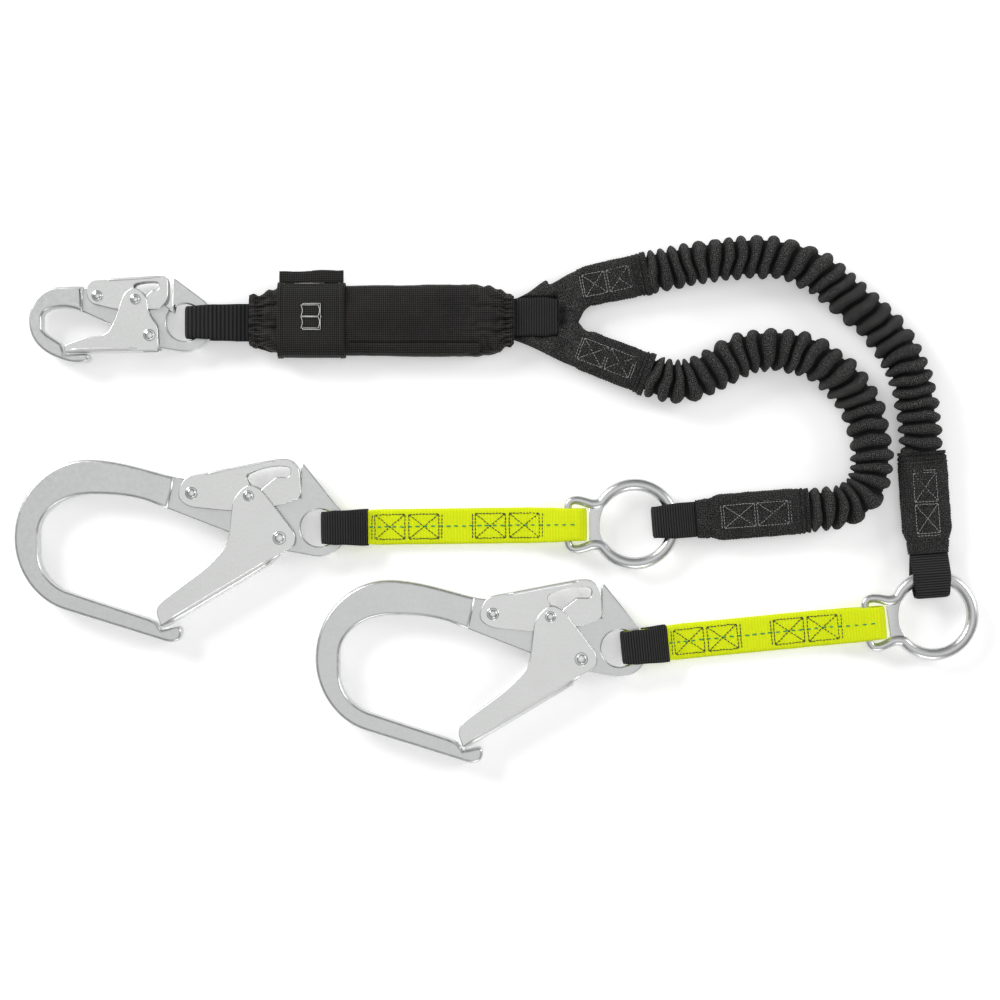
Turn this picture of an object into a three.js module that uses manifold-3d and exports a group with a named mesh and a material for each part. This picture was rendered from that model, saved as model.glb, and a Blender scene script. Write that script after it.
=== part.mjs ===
// Twin-leg shock absorbing lanyard with tie-back rings, lying flat. Millimetres, +Z up, +X to the right.
import * as THREE from 'three';
import { mergeVertices } from 'three/addons/utils/BufferGeometryUtils.js';
import Module from 'manifold-3d';

const wasm = await Module();
wasm.setup();

// ---- heights shared by every piece ----
const MID = 10; // height of the plane that halves hooks, rings and webbing
const GAP = 0.4; // air between neighbouring plates
const RUN = 0.3; // air round a rivet, pin or strap

// ---- hook build-up, measured from the mid plane outwards ----
const BODY_HALF = 3.5;
const BOW_HALF = 6;
const LEVER_IN = BODY_HALF + GAP;
const LEVER_OUT = LEVER_IN + 2;
const GATE_IN = LEVER_OUT + GAP;
const GATE_OUT = GATE_IN + 2;
const WEB = 2; // thickness of the folded back of gate and lever
const POCKET_DEPTH = 4;
const EYE_HOLE = 14;

// ---- webbing ----
const PLY = 2; // one layer of webbing
const STRAP_WIDTH = 23; // hi-vis strap between ring and hook
const LOOP_WIDTH = 25; // black loops on the pack and the legs
const RING_HALF = 3.5;
const RING_OUTER = 34;
const RING_INNER = 25;
const BAR_AT = -49; // centre of the ring's end bar
const BAR_LONG = 6;
const SLOT_HALF = 14;

// ---- layout of the laid out lanyard ----
const SNAP_EYE = [-236, 133];
const PACK = { left: -187.5, right: 10.5, y: 134.5, half: 26.2, halfZ: 8.6, edge: 5, wall: 1.6 };
const RING_A = { at: [101, -18], turn: 0.7 };
const RING_B = { at: [324.8, -86.3], turn: 7.6 };
const STRAP_A_TURN = 0.7;
const STRAP_B_TURN = 5.6;
const STRAP_REACH = 187.5; // end bar to the centre of the hook's eye
const FAR_A = { turn: 4.5, length: 82 };
const FAR_B = { turn: 94.1, length: 74 };
const FAR_START = 47; // ring centre to the start of the far sleeve
const TUBE = { half: 16.5, halfZ: 9.6, wall: 1.6, steps: 22, sides: 8 };
const NEAR_A = { at: [62, 112.8], turn: -21, length: 51 };
const NEAR_B = { at: [64, 160.1], turn: 12, length: 46 };
const SLEEVE = { half: 15, halfZ: 4.6, wall: 1.4 };
const FAR_HALF = 17;
const LOOP_Y = 137; // centre line of the loop behind the pack

const REBAR = {
  gatePivot: [-29, -7.5],
  leverPivot: [-95, 26],
  lockPin: [-52, 24],
  shaft: 3,
  pinShaft: 2.6,
  lobe: 9,
  eye: 21.5,
  opens: 38,
  lever: 10,
};
const SNAP = {
  gatePivot: [-25.4, -10],
  leverPivot: [-64.8, 19.5],
  lockPin: [-35.9, 16.7],
  shaft: 2.5,
  pinShaft: 2.4,
  lobe: 8,
  eye: 22,
  opens: 20,
  lever: 10,
};

// ---- finishes ----
const FINISH = {
  steel: { color: 0xb9bcbf, roughness: 0.34, metalness: 1 },
  rivet: { color: 0xd8dadc, roughness: 0.2, metalness: 1 },
  spring: { color: 0x8d9093, roughness: 0.4, metalness: 1 },
  ring: { color: 0xb4b7bb, roughness: 0.3, metalness: 1 },
  blackWeb: { color: 0x17181a, roughness: 0.85, metalness: 0 },
  cover: { color: 0x1d1d1e, roughness: 0.9, metalness: 0 },
  elastic: { color: 0x303132, roughness: 0.95, metalness: 0 },
  hiVis: { color: 0xc8f000, roughness: 0.75, metalness: 0 },
  white: { color: 0xe6e6e4, roughness: 0.8, metalness: 0 },
};

const rad = (degrees) => (degrees * Math.PI) / 180;

function named(name, geometry, finish) {
  const mesh = new THREE.Mesh(geometry, new THREE.MeshStandardMaterial(FINISH[finish]));
  mesh.name = name;
  return mesh;
}

function place(object, x, y, turn = 0, z = MID) {
  object.position.set(x, y, z);
  object.rotation.z = rad(turn);
  return object;
}

// ---- closed-solid helpers ----
function toSolid(geometry) {
  const bare = geometry.clone();
  bare.deleteAttribute('normal');
  bare.deleteAttribute('uv');
  const merged = mergeVertices(bare, 1e-4);
  const mesh = new wasm.Mesh({
    numProp: 3,
    vertProperties: new Float32Array(merged.attributes.position.array),
    triVerts: new Uint32Array(merged.index.array),
  });
  return new wasm.Manifold(mesh);
}

function toGeometry(solid) {
  const mesh = solid.getMesh();
  const geometry = new THREE.BufferGeometry();
  geometry.setAttribute('position', new THREE.BufferAttribute(new Float32Array(mesh.vertProperties), 3));
  geometry.setIndex(new THREE.BufferAttribute(new Uint32Array(mesh.triVerts), 1));
  const flat = geometry.toNonIndexed();
  flat.computeVertexNormals();
  return flat;
}

function cut(base, tools) {
  let solid = toSolid(base);
  for (const tool of tools) {
    solid = solid.subtract(toSolid(tool));
  }
  return toGeometry(solid);
}

function join(pieces) {
  let solid = toSolid(pieces[0]);
  for (const piece of pieces.slice(1)) {
    solid = solid.add(toSolid(piece));
  }
  return toGeometry(solid);
}

// a flat plate between two heights
function plate(shape, low, high, curveSegments = 3) {
  const options = { depth: high - low, bevelEnabled: false, curveSegments };
  return new THREE.ExtrudeGeometry(shape, options).translate(0, 0, low);
}

// a profile drawn in X and Z, given a width along Y
function acrossY(shape, width) {
  const options = { depth: width, bevelEnabled: false, curveSegments: 6 };
  return new THREE.ExtrudeGeometry(shape, options).translate(0, 0, -width / 2).rotateX(Math.PI / 2);
}

function drill(at, radius, low, high, sides = 14) {
  const geometry = new THREE.CylinderGeometry(radius, radius, high - low, sides);
  return geometry.rotateX(Math.PI / 2).translate(at[0], at[1], (low + high) / 2);
}

// corners are [x, y, cut-back]; each corner is rounded over its cut-back
function rounded(corners) {
  const shape = new THREE.Shape();
  corners.forEach(([x, y, back], i) => {
    const [px, py] = corners[(i + corners.length - 1) % corners.length];
    const [nx, ny] = corners[(i + 1) % corners.length];
    const before = Math.hypot(px - x, py - y);
    const after = Math.hypot(nx - x, ny - y);
    const a = Math.min(back, before * 0.48) / before;
    const b = Math.min(back, after * 0.48) / after;
    const inX = x + (px - x) * a;
    const inY = y + (py - y) * a;
    if (i === 0) {
      shape.moveTo(inX, inY);
    } else {
      shape.lineTo(inX, inY);
    }
    shape.quadraticCurveTo(x, y, x + (nx - x) * b, y + (ny - y) * b);
  });
  shape.closePath();
  return shape;
}

// ---- hooks ----
function rivet(shaft, head, under, top) {
  const points = [new THREE.Vector2(0, -top)];
  const dome = 2;
  for (let i = 1; i <= dome; i += 1) {
    const a = (i / dome) * Math.PI / 2;
    points.push(new THREE.Vector2(head * Math.sin(a), -under - (top - under) * Math.cos(a)));
  }
  points.push(new THREE.Vector2(shaft, -under));
  points.push(new THREE.Vector2(shaft, under));
  for (let i = dome; i >= 1; i -= 1) {
    const a = (i / dome) * Math.PI / 2;
    points.push(new THREE.Vector2(head * Math.sin(a), under + (top - under) * Math.cos(a)));
  }
  points.push(new THREE.Vector2(0, top));
  return new THREE.LatheGeometry(points, 12).rotateX(Math.PI / 2);
}

class Helix extends THREE.Curve {
  constructor(radius, rise, turns) {
    super();
    this.radius = radius;
    this.rise = rise;
    this.turns = turns;
  }

  getPoint(t, target = new THREE.Vector3()) {
    const a = t * this.turns * 2 * Math.PI;
    return target.set(this.radius * Math.cos(a), this.radius * Math.sin(a), this.rise * t);
  }
}

function torsionSpring(shaft) {
  const wire = 0.6;
  const section = new THREE.Shape();
  const sides = 5;
  for (let i = 0; i < sides; i += 1) {
    const a = (i / sides) * 2 * Math.PI;
    if (i === 0) {
      section.moveTo(wire * Math.cos(a), wire * Math.sin(a));
    } else {
      section.lineTo(wire * Math.cos(a), wire * Math.sin(a));
    }
  }
  section.closePath();
  const path = new Helix(shaft + 1.55, 2.3, 1.6);
  const options = { steps: 15, bevelEnabled: false, extrudePath: path };
  return new THREE.ExtrudeGeometry(section, options).translate(0, 0, BODY_HALF - 3.2);
}

function pivotCutters(at, shaft) {
  const through = drill(at, shaft + 0.2, -BOW_HALF - 1, BOW_HALF + 1);
  const pocket = drill(at, shaft + 2.75, BODY_HALF - POCKET_DEPTH, BODY_HALF + 1);
  return [through, pocket];
}

function rebarPlateShape() {
  const { gatePivot: g, lobe, eye } = REBAR;
  const s = new THREE.Shape();
  s.moveTo(-13.5, 46);
  s.lineTo(-11.5, 48);
  s.absarc(0, 0, eye, rad(52), rad(-100.2), true);
  s.absarc(g[0], g[1], lobe, rad(259.8), rad(250.4), true);
  s.lineTo(-69, -2.8);
  s.lineTo(-117, 15.8);
  s.lineTo(-114, 39);
  s.lineTo(-102, 37);
  s.lineTo(-90, 36.2);
  s.quadraticCurveTo(-80, 35.6, -74, 31.2);
  s.lineTo(-58, 19);
  s.absarc(g[0], g[1], 34, rad(138), rad(62.9), true);
  s.closePath();
  return s;
}

function rebarBowShape() {
  const s = new THREE.Shape();
  s.moveTo(-108, 38.2);
  s.bezierCurveTo(-125, 42, -150, 51.2, -172.3, 51.2);
  s.bezierCurveTo(-203, 51.2, -227.8, 25, -227.8, -7.6);
  s.bezierCurveTo(-227.8, -32, -212, -54.6, -190, -61.5);
  s.lineTo(-116, -84.6);
  s.bezierCurveTo(-107, -87.4, -102.3, -84, -102.3, -78);
  s.quadraticCurveTo(-102.3, -74, -105.5, -73.8);
  s.lineTo(-117.5, -76.6);
  s.lineTo(-121, -70.6);
  s.lineTo(-127, -67.8);
  s.lineTo(-187, -48);
  s.bezierCurveTo(-201, -43.2, -209.5, -31, -209.5, -18);
  s.lineTo(-209.5, -5); // flat seat for the bar it hangs on
  s.bezierCurveTo(-209.5, 12, -192, 25, -169.3, 25);
  s.bezierCurveTo(-152, 25, -140, 23.8, -127, 19.5);
  s.lineTo(-113, 14.2);
  s.closePath();
  return s;
}

function snapPlateShape() {
  const { gatePivot: g, lobe, eye } = SNAP;
  const s = new THREE.Shape();
  s.moveTo(-9.3, 31.5);
  s.lineTo(-7.5, 33);
  s.absarc(0, 0, eye, rad(48), rad(-96.5), true);
  s.absarc(g[0], g[1], lobe, rad(263.5), rad(248), true);
  s.lineTo(-53, -2.6);
  s.lineTo(-79, 9.2);
  s.lineTo(-79, 25.5);
  s.lineTo(-62, 27.2);
  s.quadraticCurveTo(-55, 26.6, -51, 21);
  s.lineTo(-44.5, 11);
  s.absarc(g[0], g[1], 25, rad(135), rad(50), true);
  s.closePath();
  return s;
}

function snapBowShape() {
  const s = new THREE.Shape();
  s.moveTo(-76, 26.8);
  s.bezierCurveTo(-82, 27, -88, 26.8, -95.3, 26.3);
  s.bezierCurveTo(-108, 25.5, -116.4, 14, -116.4, 1.5);
  s.bezierCurveTo(-116.4, -16, -104, -24.5, -89, -29);
  s.bezierCurveTo(-83, -31, -78, -30.6, -74.5, -29.8);
  s.quadraticCurveTo(-70.5, -28.6, -71.2, -25.4);
  s.quadraticCurveTo(-72, -23.6, -74, -23.7);
  s.lineTo(-89.6, -24.3);
  s.lineTo(-91.6, -17);
  s.bezierCurveTo(-97, -12, -106.4, -9, -106.4, -4);
  s.lineTo(-106.4, 3); // flat seat for the harness ring
  s.bezierCurveTo(-106.4, 8.4, -100, 11.2, -89, 11);
  s.quadraticCurveTo(-83, 10.8, -76, 7.6);
  s.closePath();
  return s;
}

function hookBody(spec, plateShape, bowShape) {
  const blank = join([
    plate(plateShape, -BODY_HALF, BODY_HALF, 6),
    plate(bowShape, -BOW_HALF, BOW_HALF, 6),
  ]);
  const eye = drill([0, 0], EYE_HOLE, -BOW_HALF, BOW_HALF, 24);
  const pivots = [
    ...pivotCutters(spec.gatePivot, spec.shaft),
    ...pivotCutters(spec.leverPivot, spec.shaft),
  ];
  return cut(blank, [eye, ...pivots]);
}

function rebarGateShape() {
  return rounded([
    [-52.6, 33.6, 7],
    [-63.8, 22, 7],
    [-67.6, -13, 9],
    [-84.2, -30, 9],
    [-118, -55, 7],
    [-121.2, -62.5, 4],
    [-115.9, -75.4, 1],
    [-23.2, -19.5, 4],
    [-17.5, -13, 3],
    [-17, -4.5, 5],
    [-42.5, 29, 7],
  ]);
}

// what is hollow between the two gate plates: everything but the folded back and the blunt tip
function rebarGateHollow() {
  const s = new THREE.Shape();
  s.moveTo(0, 60);
  s.lineTo(-140, 60);
  s.lineTo(-140, -50);
  s.lineTo(-112, -60);
  s.lineTo(-106.6, -67.6);
  s.lineTo(-35, -24.4);
  s.lineTo(-34, -50);
  s.lineTo(0, -50);
  s.closePath();
  return s;
}

function snapGateShape() {
  return rounded([
    [-36.6, 26.6, 6],
    [-44.6, 21.6, 5],
    [-51, 2, 4],
    [-57, -9.4, 5],
    [-74.5, -12, 5],
    [-88.9, -17.4, 2],
    [-88.6, -22.9, 1],
    [-18.4, -21.6, 4],
    [-19.4, -3, 3],
    [-26, 6, 5],
    [-28, 20, 6],
  ]);
}

function snapGateHollow() {
  const s = new THREE.Shape();
  s.moveTo(0, 60);
  s.lineTo(-100, 60);
  s.lineTo(-100, -20.8);
  s.lineTo(-32, -19.9);
  s.lineTo(-31, -50);
  s.lineTo(0, -50);
  s.closePath();
  return s;
}

function gate(spec, outline, hollow) {
  const holes = [
    drill(spec.gatePivot, spec.shaft + 0.2, -GATE_OUT - 1, GATE_OUT + 1),
    drill(spec.lockPin, spec.pinShaft + 0.15, -GATE_OUT - 1, GATE_OUT + 1),
  ];
  return cut(plate(outline, -GATE_OUT, GATE_OUT), [plate(hollow, -GATE_IN, GATE_IN), ...holes]);
}

function rebarLeverShape() {
  return rounded([
    [-104.4, 30, 6],
    [-99, 38.6, 5],
    [-29.5, 51.9, 4],
    [-20.5, 51.4, 5],
    [-14.4, 44, 4],
    [-12.9, 22.6, 4],
    [-33, 15.6, 6],
    [-66.3, 12.6, 5],
    [-97, 15.6, 6],
    [-105, 21.5, 6],
  ]);
}

function rebarLeverHollow() {
  const s = new THREE.Shape();
  s.moveTo(-86, 60);
  s.lineTo(-84.6, 39.1);
  s.lineTo(-29.5, 49.6);
  s.lineTo(-23, 49.4);
  s.lineTo(-21.5, 47.5);
  s.lineTo(0, 47.5);
  s.lineTo(0, 0);
  s.lineTo(-130, 0);
  s.lineTo(-130, 60);
  s.closePath();
  return s;
}

function snapLeverShape() {
  return rounded([
    [-73.6, 24, 5],
    [-71, 31.2, 5],
    [-14, 34.7, 3],
    [-12, 30.5, 3],
    [-12, 16.5, 4],
    [-18.5, 9.4, 4],
    [-50.1, 9, 6],
    [-71, 14.2, 5],
  ]);
}

function snapLeverHollow() {
  const s = new THREE.Shape();
  s.moveTo(-61, 60);
  s.lineTo(-60, 29.8);
  s.lineTo(-15, 32.4);
  s.lineTo(-13, 29);
  s.lineTo(0, 29);
  s.lineTo(0, 0);
  s.lineTo(-90, 0);
  s.lineTo(-90, 60);
  s.closePath();
  return s;
}

function turned(point, about, degrees) {
  const c = Math.cos(rad(degrees));
  const s = Math.sin(rad(degrees));
  const x = point[0] - about[0];
  const y = point[1] - about[1];
  return [about[0] + x * c - y * s, about[1] + x * s + y * c];
}

// the lock pin rides with the gate, so in the lever it sweeps this slot as both turn together
function pinSlot(spec) {
  const steps = 5;
  const clear = spec.pinShaft + 0.5;
  const centres = [];
  for (let i = 0; i <= steps; i += 1) {
    const part = i / steps;
    const pin = turned(spec.lockPin, spec.gatePivot, -spec.opens * part);
    centres.push(turned(pin, spec.leverPivot, spec.lever * part));
  }
  const left = [];
  const right = [];
  centres.forEach(([x, y], i) => {
    const [ax, ay] = centres[Math.max(i - 1, 0)];
    const [bx, by] = centres[Math.min(i + 1, steps)];
    const length = Math.hypot(bx - ax, by - ay);
    const nx = -(by - ay) / length;
    const ny = (bx - ax) / length;
    left.push(new THREE.Vector2(x + nx * clear, y + ny * clear));
    right.push(new THREE.Vector2(x - nx * clear, y - ny * clear));
  });
  const sweep = new THREE.Shape([...left, ...right.reverse()]);
  const ends = [centres[0], centres[steps]];
  return [
    plate(sweep, -LEVER_OUT - 1, LEVER_OUT + 1),
    ...ends.map((end) => drill(end, clear + 0.02, -LEVER_OUT - 1.5, LEVER_OUT + 1.5, 10)),
  ];
}

// the curved window above the pin, drawn about the gate's pivot
function leverWindow(spec, radius, half, from, to) {
  const [x, y] = spec.gatePivot;
  const s = new THREE.Shape();
  s.absarc(x, y, radius + half, rad(from), rad(to), true);
  s.absarc(x, y, radius - half, rad(to), rad(from), false);
  s.closePath();
  const ends = [from, to].map((a) => [x + radius * Math.cos(rad(a)), y + radius * Math.sin(rad(a))]);
  return [
    plate(s, -LEVER_OUT - 0.5, LEVER_OUT + 0.5, 5),
    ...ends.map((end) => drill(end, half - 0.05, -LEVER_OUT - 0.8, LEVER_OUT + 0.8, 10)),
  ];
}

function lever(spec, outline, hollow, window) {
  const hole = drill(spec.leverPivot, spec.shaft + 0.2, -LEVER_OUT - 1, LEVER_OUT + 1);
  const blank = plate(outline, -LEVER_OUT, LEVER_OUT);
  return cut(blank, [plate(hollow, -LEVER_IN, LEVER_IN), hole, ...pinSlot(spec), ...window]);
}

function hook(prefix, spec, parts) {
  const group = new THREE.Group();
  const headTop = MID - 0.1;
  group.add(named(`${prefix}_body`, parts.body, 'steel'));
  group.add(named(`${prefix}_gate`, parts.gate, 'steel'));
  group.add(named(`${prefix}_lever`, parts.lever, 'steel'));
  const pivots = [
    ['gate_rivet', spec.gatePivot, spec.shaft, spec.shaft + 2, GATE_OUT + RUN, headTop],
    ['lock_pin', spec.lockPin, spec.pinShaft, spec.pinShaft + 1.5, GATE_OUT + RUN, headTop],
    ['lever_rivet', spec.leverPivot, spec.shaft, spec.shaft + 1.6, LEVER_OUT + RUN, GATE_OUT - 0.5],
  ];
  for (const [name, at, shaft, head, under, top] of pivots) {
    const mesh = named(`${prefix}_${name}`, rivet(shaft, head, under, top), 'rivet');
    group.add(place(mesh, at[0], at[1], 0, 0));
  }
  const springs = [
    ['gate_spring', spec.gatePivot],
    ['lever_spring', spec.leverPivot],
  ];
  for (const [name, at] of springs) {
    const mesh = named(`${prefix}_${name}`, torsionSpring(spec.shaft), 'spring');
    group.add(place(mesh, at[0], at[1], 0, 0));
  }
  return group;
}

function rebarHook(prefix) {
  return hook(prefix, REBAR, {
    body: hookBody(REBAR, rebarPlateShape(), rebarBowShape()),
    gate: gate(REBAR, rebarGateShape(), rebarGateHollow()),
    lever: lever(REBAR, rebarLeverShape(), rebarLeverHollow(), leverWindow(REBAR, 49.4, 4, 115, 85)),
  });
}

function snapHook(prefix) {
  return hook(prefix, SNAP, {
    body: hookBody(SNAP, snapPlateShape(), snapBowShape()),
    gate: gate(SNAP, snapGateShape(), snapGateHollow()),
    lever: lever(SNAP, snapLeverShape(), snapLeverHollow(), leverWindow(SNAP, 37, 3, 105, 84)),
  });
}

// ---- tie-back ring: a round ring with a slotted neck that ends in a bar ----
function ringShape() {
  const s = new THREE.Shape();
  const neck = 20;
  const start = Math.asin(neck / RING_OUTER);
  const end = BAR_AT - BAR_LONG / 2;
  s.absarc(0, 0, RING_OUTER, -Math.PI + start, Math.PI - start, false);
  s.lineTo(end + 5, neck);
  s.quadraticCurveTo(end, neck, end, neck - 5);
  s.lineTo(end, -neck + 5);
  s.quadraticCurveTo(end, -neck, end + 5, -neck);
  s.closePath();
  const hole = new THREE.Path();
  hole.absarc(0, 0, RING_INNER, 0, 2 * Math.PI, true);
  s.holes.push(hole);
  const slot = new THREE.Path();
  slot.moveTo(BAR_AT + BAR_LONG / 2, -SLOT_HALF);
  slot.lineTo(BAR_AT + BAR_LONG / 2, SLOT_HALF);
  slot.lineTo(-33.4, SLOT_HALF);
  slot.lineTo(-33.4, -SLOT_HALF);
  slot.closePath();
  s.holes.push(slot);
  return s;
}

function ring() {
  return plate(ringShape(), -RING_HALF, RING_HALF, 14);
}

// ---- webbing loops, drawn as side profiles ----
// points round the far side of a loop: two circles of the same radius, then straight to the join
function loopSide(near, far, radius, joinPoint, up) {
  const points = [];
  const sign = up ? 1 : -1;
  const toward = Math.sign(joinPoint.x - far) || 1;
  const dx = Math.abs(joinPoint.x - far);
  const dz = sign * (joinPoint.y - near.z);
  const lean = Math.atan2(dz, dx) + Math.acos(radius / Math.hypot(dx, dz));
  const steps = 5;
  for (let i = 0; i <= steps; i += 1) {
    const a = Math.PI + (Math.PI / 2 - Math.PI) * (i / steps);
    points.push([near.x + toward * radius * Math.cos(a), near.z + sign * radius * Math.sin(a)]);
  }
  for (let i = 0; i <= 2; i += 1) {
    const a = Math.PI / 2 + (lean - Math.PI / 2) * (i / 2);
    points.push([far + toward * radius * Math.cos(a), near.z + sign * radius * Math.sin(a)]);
  }
  points.push([joinPoint.x, joinPoint.y]);
  return points;
}

function loopOutline(loop, radius, half) {
  const joinTop = new THREE.Vector2(loop.join, loop.joinZ + half);
  const joinLow = new THREE.Vector2(loop.join, loop.joinZ - half);
  const top = loopSide(loop.near, loop.far, radius, joinTop, true);
  const low = loopSide(loop.near, loop.far, radius, joinLow, false);
  return { top, low };
}

// a shape from [x, z] pairs, always wound the same way so that its holes stay holes
function wound(points) {
  const list = points.map(([x, z]) => new THREE.Vector2(x, z));
  if (THREE.ShapeUtils.isClockWise(list)) {
    list.reverse();
  }
  return new THREE.Shape(list);
}

function loopHole(loop) {
  const toward = Math.sign(loop.join - loop.far);
  const pointed = { ...loop, join: loop.join - 1.5 * toward };
  const { top, low } = loopOutline(pointed, loop.inner, 0);
  const points = [...low.reverse(), ...top.slice(1, -1)];
  return new THREE.Path(points.map(([x, z]) => new THREE.Vector2(x, z)));
}

// one strap: a loop at one end and either a cut tail or a second loop at the other
function strapShape(first, second, tail) {
  const a = loopOutline(first, first.inner + PLY, PLY);
  const points = [...a.low.reverse(), ...a.top.slice(1)];
  const holes = [loopHole(first)];
  if (second) {
    const b = loopOutline(second, second.inner + PLY, PLY);
    points.push(...b.top.reverse(), ...b.low.slice(1));
    holes.push(loopHole(second));
  } else {
    points.push([tail, first.joinZ + PLY], [tail, first.joinZ - PLY]);
  }
  const shape = wound(points);
  shape.holes = holes;
  return shape;
}

// straps are drawn from the hook's eye centre at x = 0 towards +X
const EYE_LOOP = { near: { x: 10.2, z: 0 }, far: 20.6, inner: 5.6, join: 46, joinZ: -5.3 };
const BAR_LOOP = {
  near: { x: STRAP_REACH, z: 0 },
  far: STRAP_REACH - 1,
  inner: 5.6,
  join: STRAP_REACH - 30,
  joinZ: -5.3,
};

function hiVisStrap() {
  return acrossY(strapShape(EYE_LOOP, BAR_LOOP), STRAP_WIDTH);
}

// the black wear sleeve lies round the outside of the webbing where it bears on the eye
function wearSleeve() {
  const air = RUN;
  const skin = 1.4;
  const inside = loopOutline(EYE_LOOP, EYE_LOOP.inner + PLY + air, PLY + air);
  const outside = loopOutline(EYE_LOOP, EYE_LOOP.inner + PLY + air + skin, PLY + air + skin);
  const along = 0.55;
  const short = (points) => {
    const last = points.length - 1;
    const [x, z] = points[last];
    const [px, pz] = points[last - 1];
    return [...points.slice(0, last), [px + (x - px) * along, pz + (z - pz) * along]];
  };
  const outer = [...short(outside.low).reverse(), ...short(outside.top).slice(1)];
  const inner = [...short(inside.top).reverse(), ...short(inside.low).slice(1)];
  return acrossY(wound([...outer, ...inner]), STRAP_WIDTH + 2);
}

function tieBack(letter, ringSpec, strapTurn) {
  const group = new THREE.Group();
  const [x, y] = ringSpec.at;
  const ringMesh = named(`ring_${letter}`, ring(), 'ring');
  group.add(place(ringMesh, x, y, ringSpec.turn));
  const barX = x + BAR_AT * Math.cos(rad(ringSpec.turn));
  const barY = y + BAR_AT * Math.sin(rad(ringSpec.turn));
  const eyeX = barX - STRAP_REACH * Math.cos(rad(strapTurn));
  const eyeY = barY - STRAP_REACH * Math.sin(rad(strapTurn));
  const strapMesh = named(`strap_${letter}`, hiVisStrap(), 'hiVis');
  group.add(place(strapMesh, eyeX, eyeY, strapTurn));
  const sleeveMesh = named(`wear_sleeve_${letter}`, wearSleeve(), 'blackWeb');
  group.add(place(sleeveMesh, eyeX, eyeY, strapTurn));
  group.add(place(rebarHook(`hook_${letter}`), eyeX, eyeY));
  return group;
}

// ---- the two stretch legs ----
function tubeSection(half, halfZ, wall) {
  const shape = new THREE.Shape();
  const hole = new THREE.Path();
  for (let i = 0; i <= TUBE.sides; i += 1) {
    const a = (i / TUBE.sides) * 2 * Math.PI;
    const draw = i === 0 ? 'moveTo' : 'lineTo';
    shape[draw](halfZ * Math.cos(a), half * Math.sin(a));
    hole[draw]((halfZ - wall) * Math.cos(a), (half - wall) * Math.sin(a));
  }
  shape.holes.push(hole);
  return shape;
}

const LEG_A_ROUTE = [
  [111.4, 94],
  [122, 90],
  [139, 89],
  [157, 96],
  [181, 108.6],
  [204, 112.6],
  [227, 109.6],
  [247, 98.5],
  [262, 83.5],
  [272, 66],
  [277, 46],
  [278.4, 25],
  [273, 7.5],
  [259, -3.6],
  [243, -6.6],
  [231.4, -7.6],
];
const LEG_B_ROUTE = [
  [110.6, 170.1],
  [124, 172.8],
  [146, 177],
  [172, 180.6],
  [195, 182],
  [217, 179.4],
  [237, 171],
  [253, 158.6],
  [269, 144.4],
  [284, 131],
  [296, 115],
  [305.4, 97],
  [311.4, 76],
  [314.4, 54],
  [316, 36],
];

function route(points) {
  return new THREE.CatmullRomCurve3(points.map(([x, y]) => new THREE.Vector3(x, y, 0)));
}

function elasticTube(points) {
  const section = tubeSection(TUBE.half, TUBE.halfZ, TUBE.wall);
  const options = { steps: TUBE.steps, bevelEnabled: false, extrudePath: route(points) };
  return new THREE.ExtrudeGeometry(section, options);
}

// the load-bearing strap that gathers inside the elastic tube
function innerStrap(points) {
  const section = new THREE.Shape();
  section.moveTo(-PLY / 2, -11);
  section.lineTo(PLY / 2, -11);
  section.lineTo(PLY / 2, 11);
  section.lineTo(-PLY / 2, 11);
  section.closePath();
  const options = { steps: TUBE.steps, bevelEnabled: false, extrudePath: route(points) };
  return new THREE.ExtrudeGeometry(section, options);
}

// a flat stitched end of the elastic tube, open at both ends
function sleeve(half, length) {
  const box = (halfY, halfZ, edge) => [
    [-halfY, -halfZ, edge],
    [halfY, -halfZ, edge],
    [halfY, halfZ, edge],
    [-halfY, halfZ, edge],
  ];
  const shape = rounded(box(half, SLEEVE.halfZ, 3));
  const inner = rounded(box(half - SLEEVE.wall, SLEEVE.halfZ - SLEEVE.wall, 2));
  shape.holes.push(new THREE.Path(inner.getPoints(3)));
  const options = { depth: length, bevelEnabled: false, curveSegments: 3 };
  return new THREE.ExtrudeGeometry(shape, options).rotateX(Math.PI / 2).rotateZ(Math.PI / 2);
}

const END_LOOP = { near: { x: 19.8, z: 0 }, far: 30.4, inner: 5, join: FAR_START - 0.5, joinZ: 0 };

function legEnd(letter, ringSpec, far) {
  const group = new THREE.Group();
  const tail = FAR_START + far.length - 1;
  group.add(named(`end_loop_${letter}`, acrossY(strapShape(END_LOOP, null, tail), LOOP_WIDTH), 'blackWeb'));
  const cover = named(`far_sleeve_${letter}`, sleeve(FAR_HALF, far.length), 'elastic');
  group.add(place(cover, FAR_START, 0, 0, 0));
  return place(group, ringSpec.at[0], ringSpec.at[1], far.turn);
}

function leg(letter, near, far, ringSpec, points) {
  const group = new THREE.Group();
  const nearSleeve = named(`near_sleeve_${letter}`, sleeve(SLEEVE.half, near.length), 'elastic');
  group.add(place(nearSleeve, near.at[0], near.at[1], near.turn));
  const tube = named(`elastic_tube_${letter}`, elasticTube(points), 'elastic');
  group.add(place(tube, 0, 0));
  const strap = named(`inner_strap_${letter}`, innerStrap(points), 'blackWeb');
  group.add(place(strap, 0, 0));
  group.add(legEnd(letter, ringSpec, far));
  return group;
}

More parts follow.
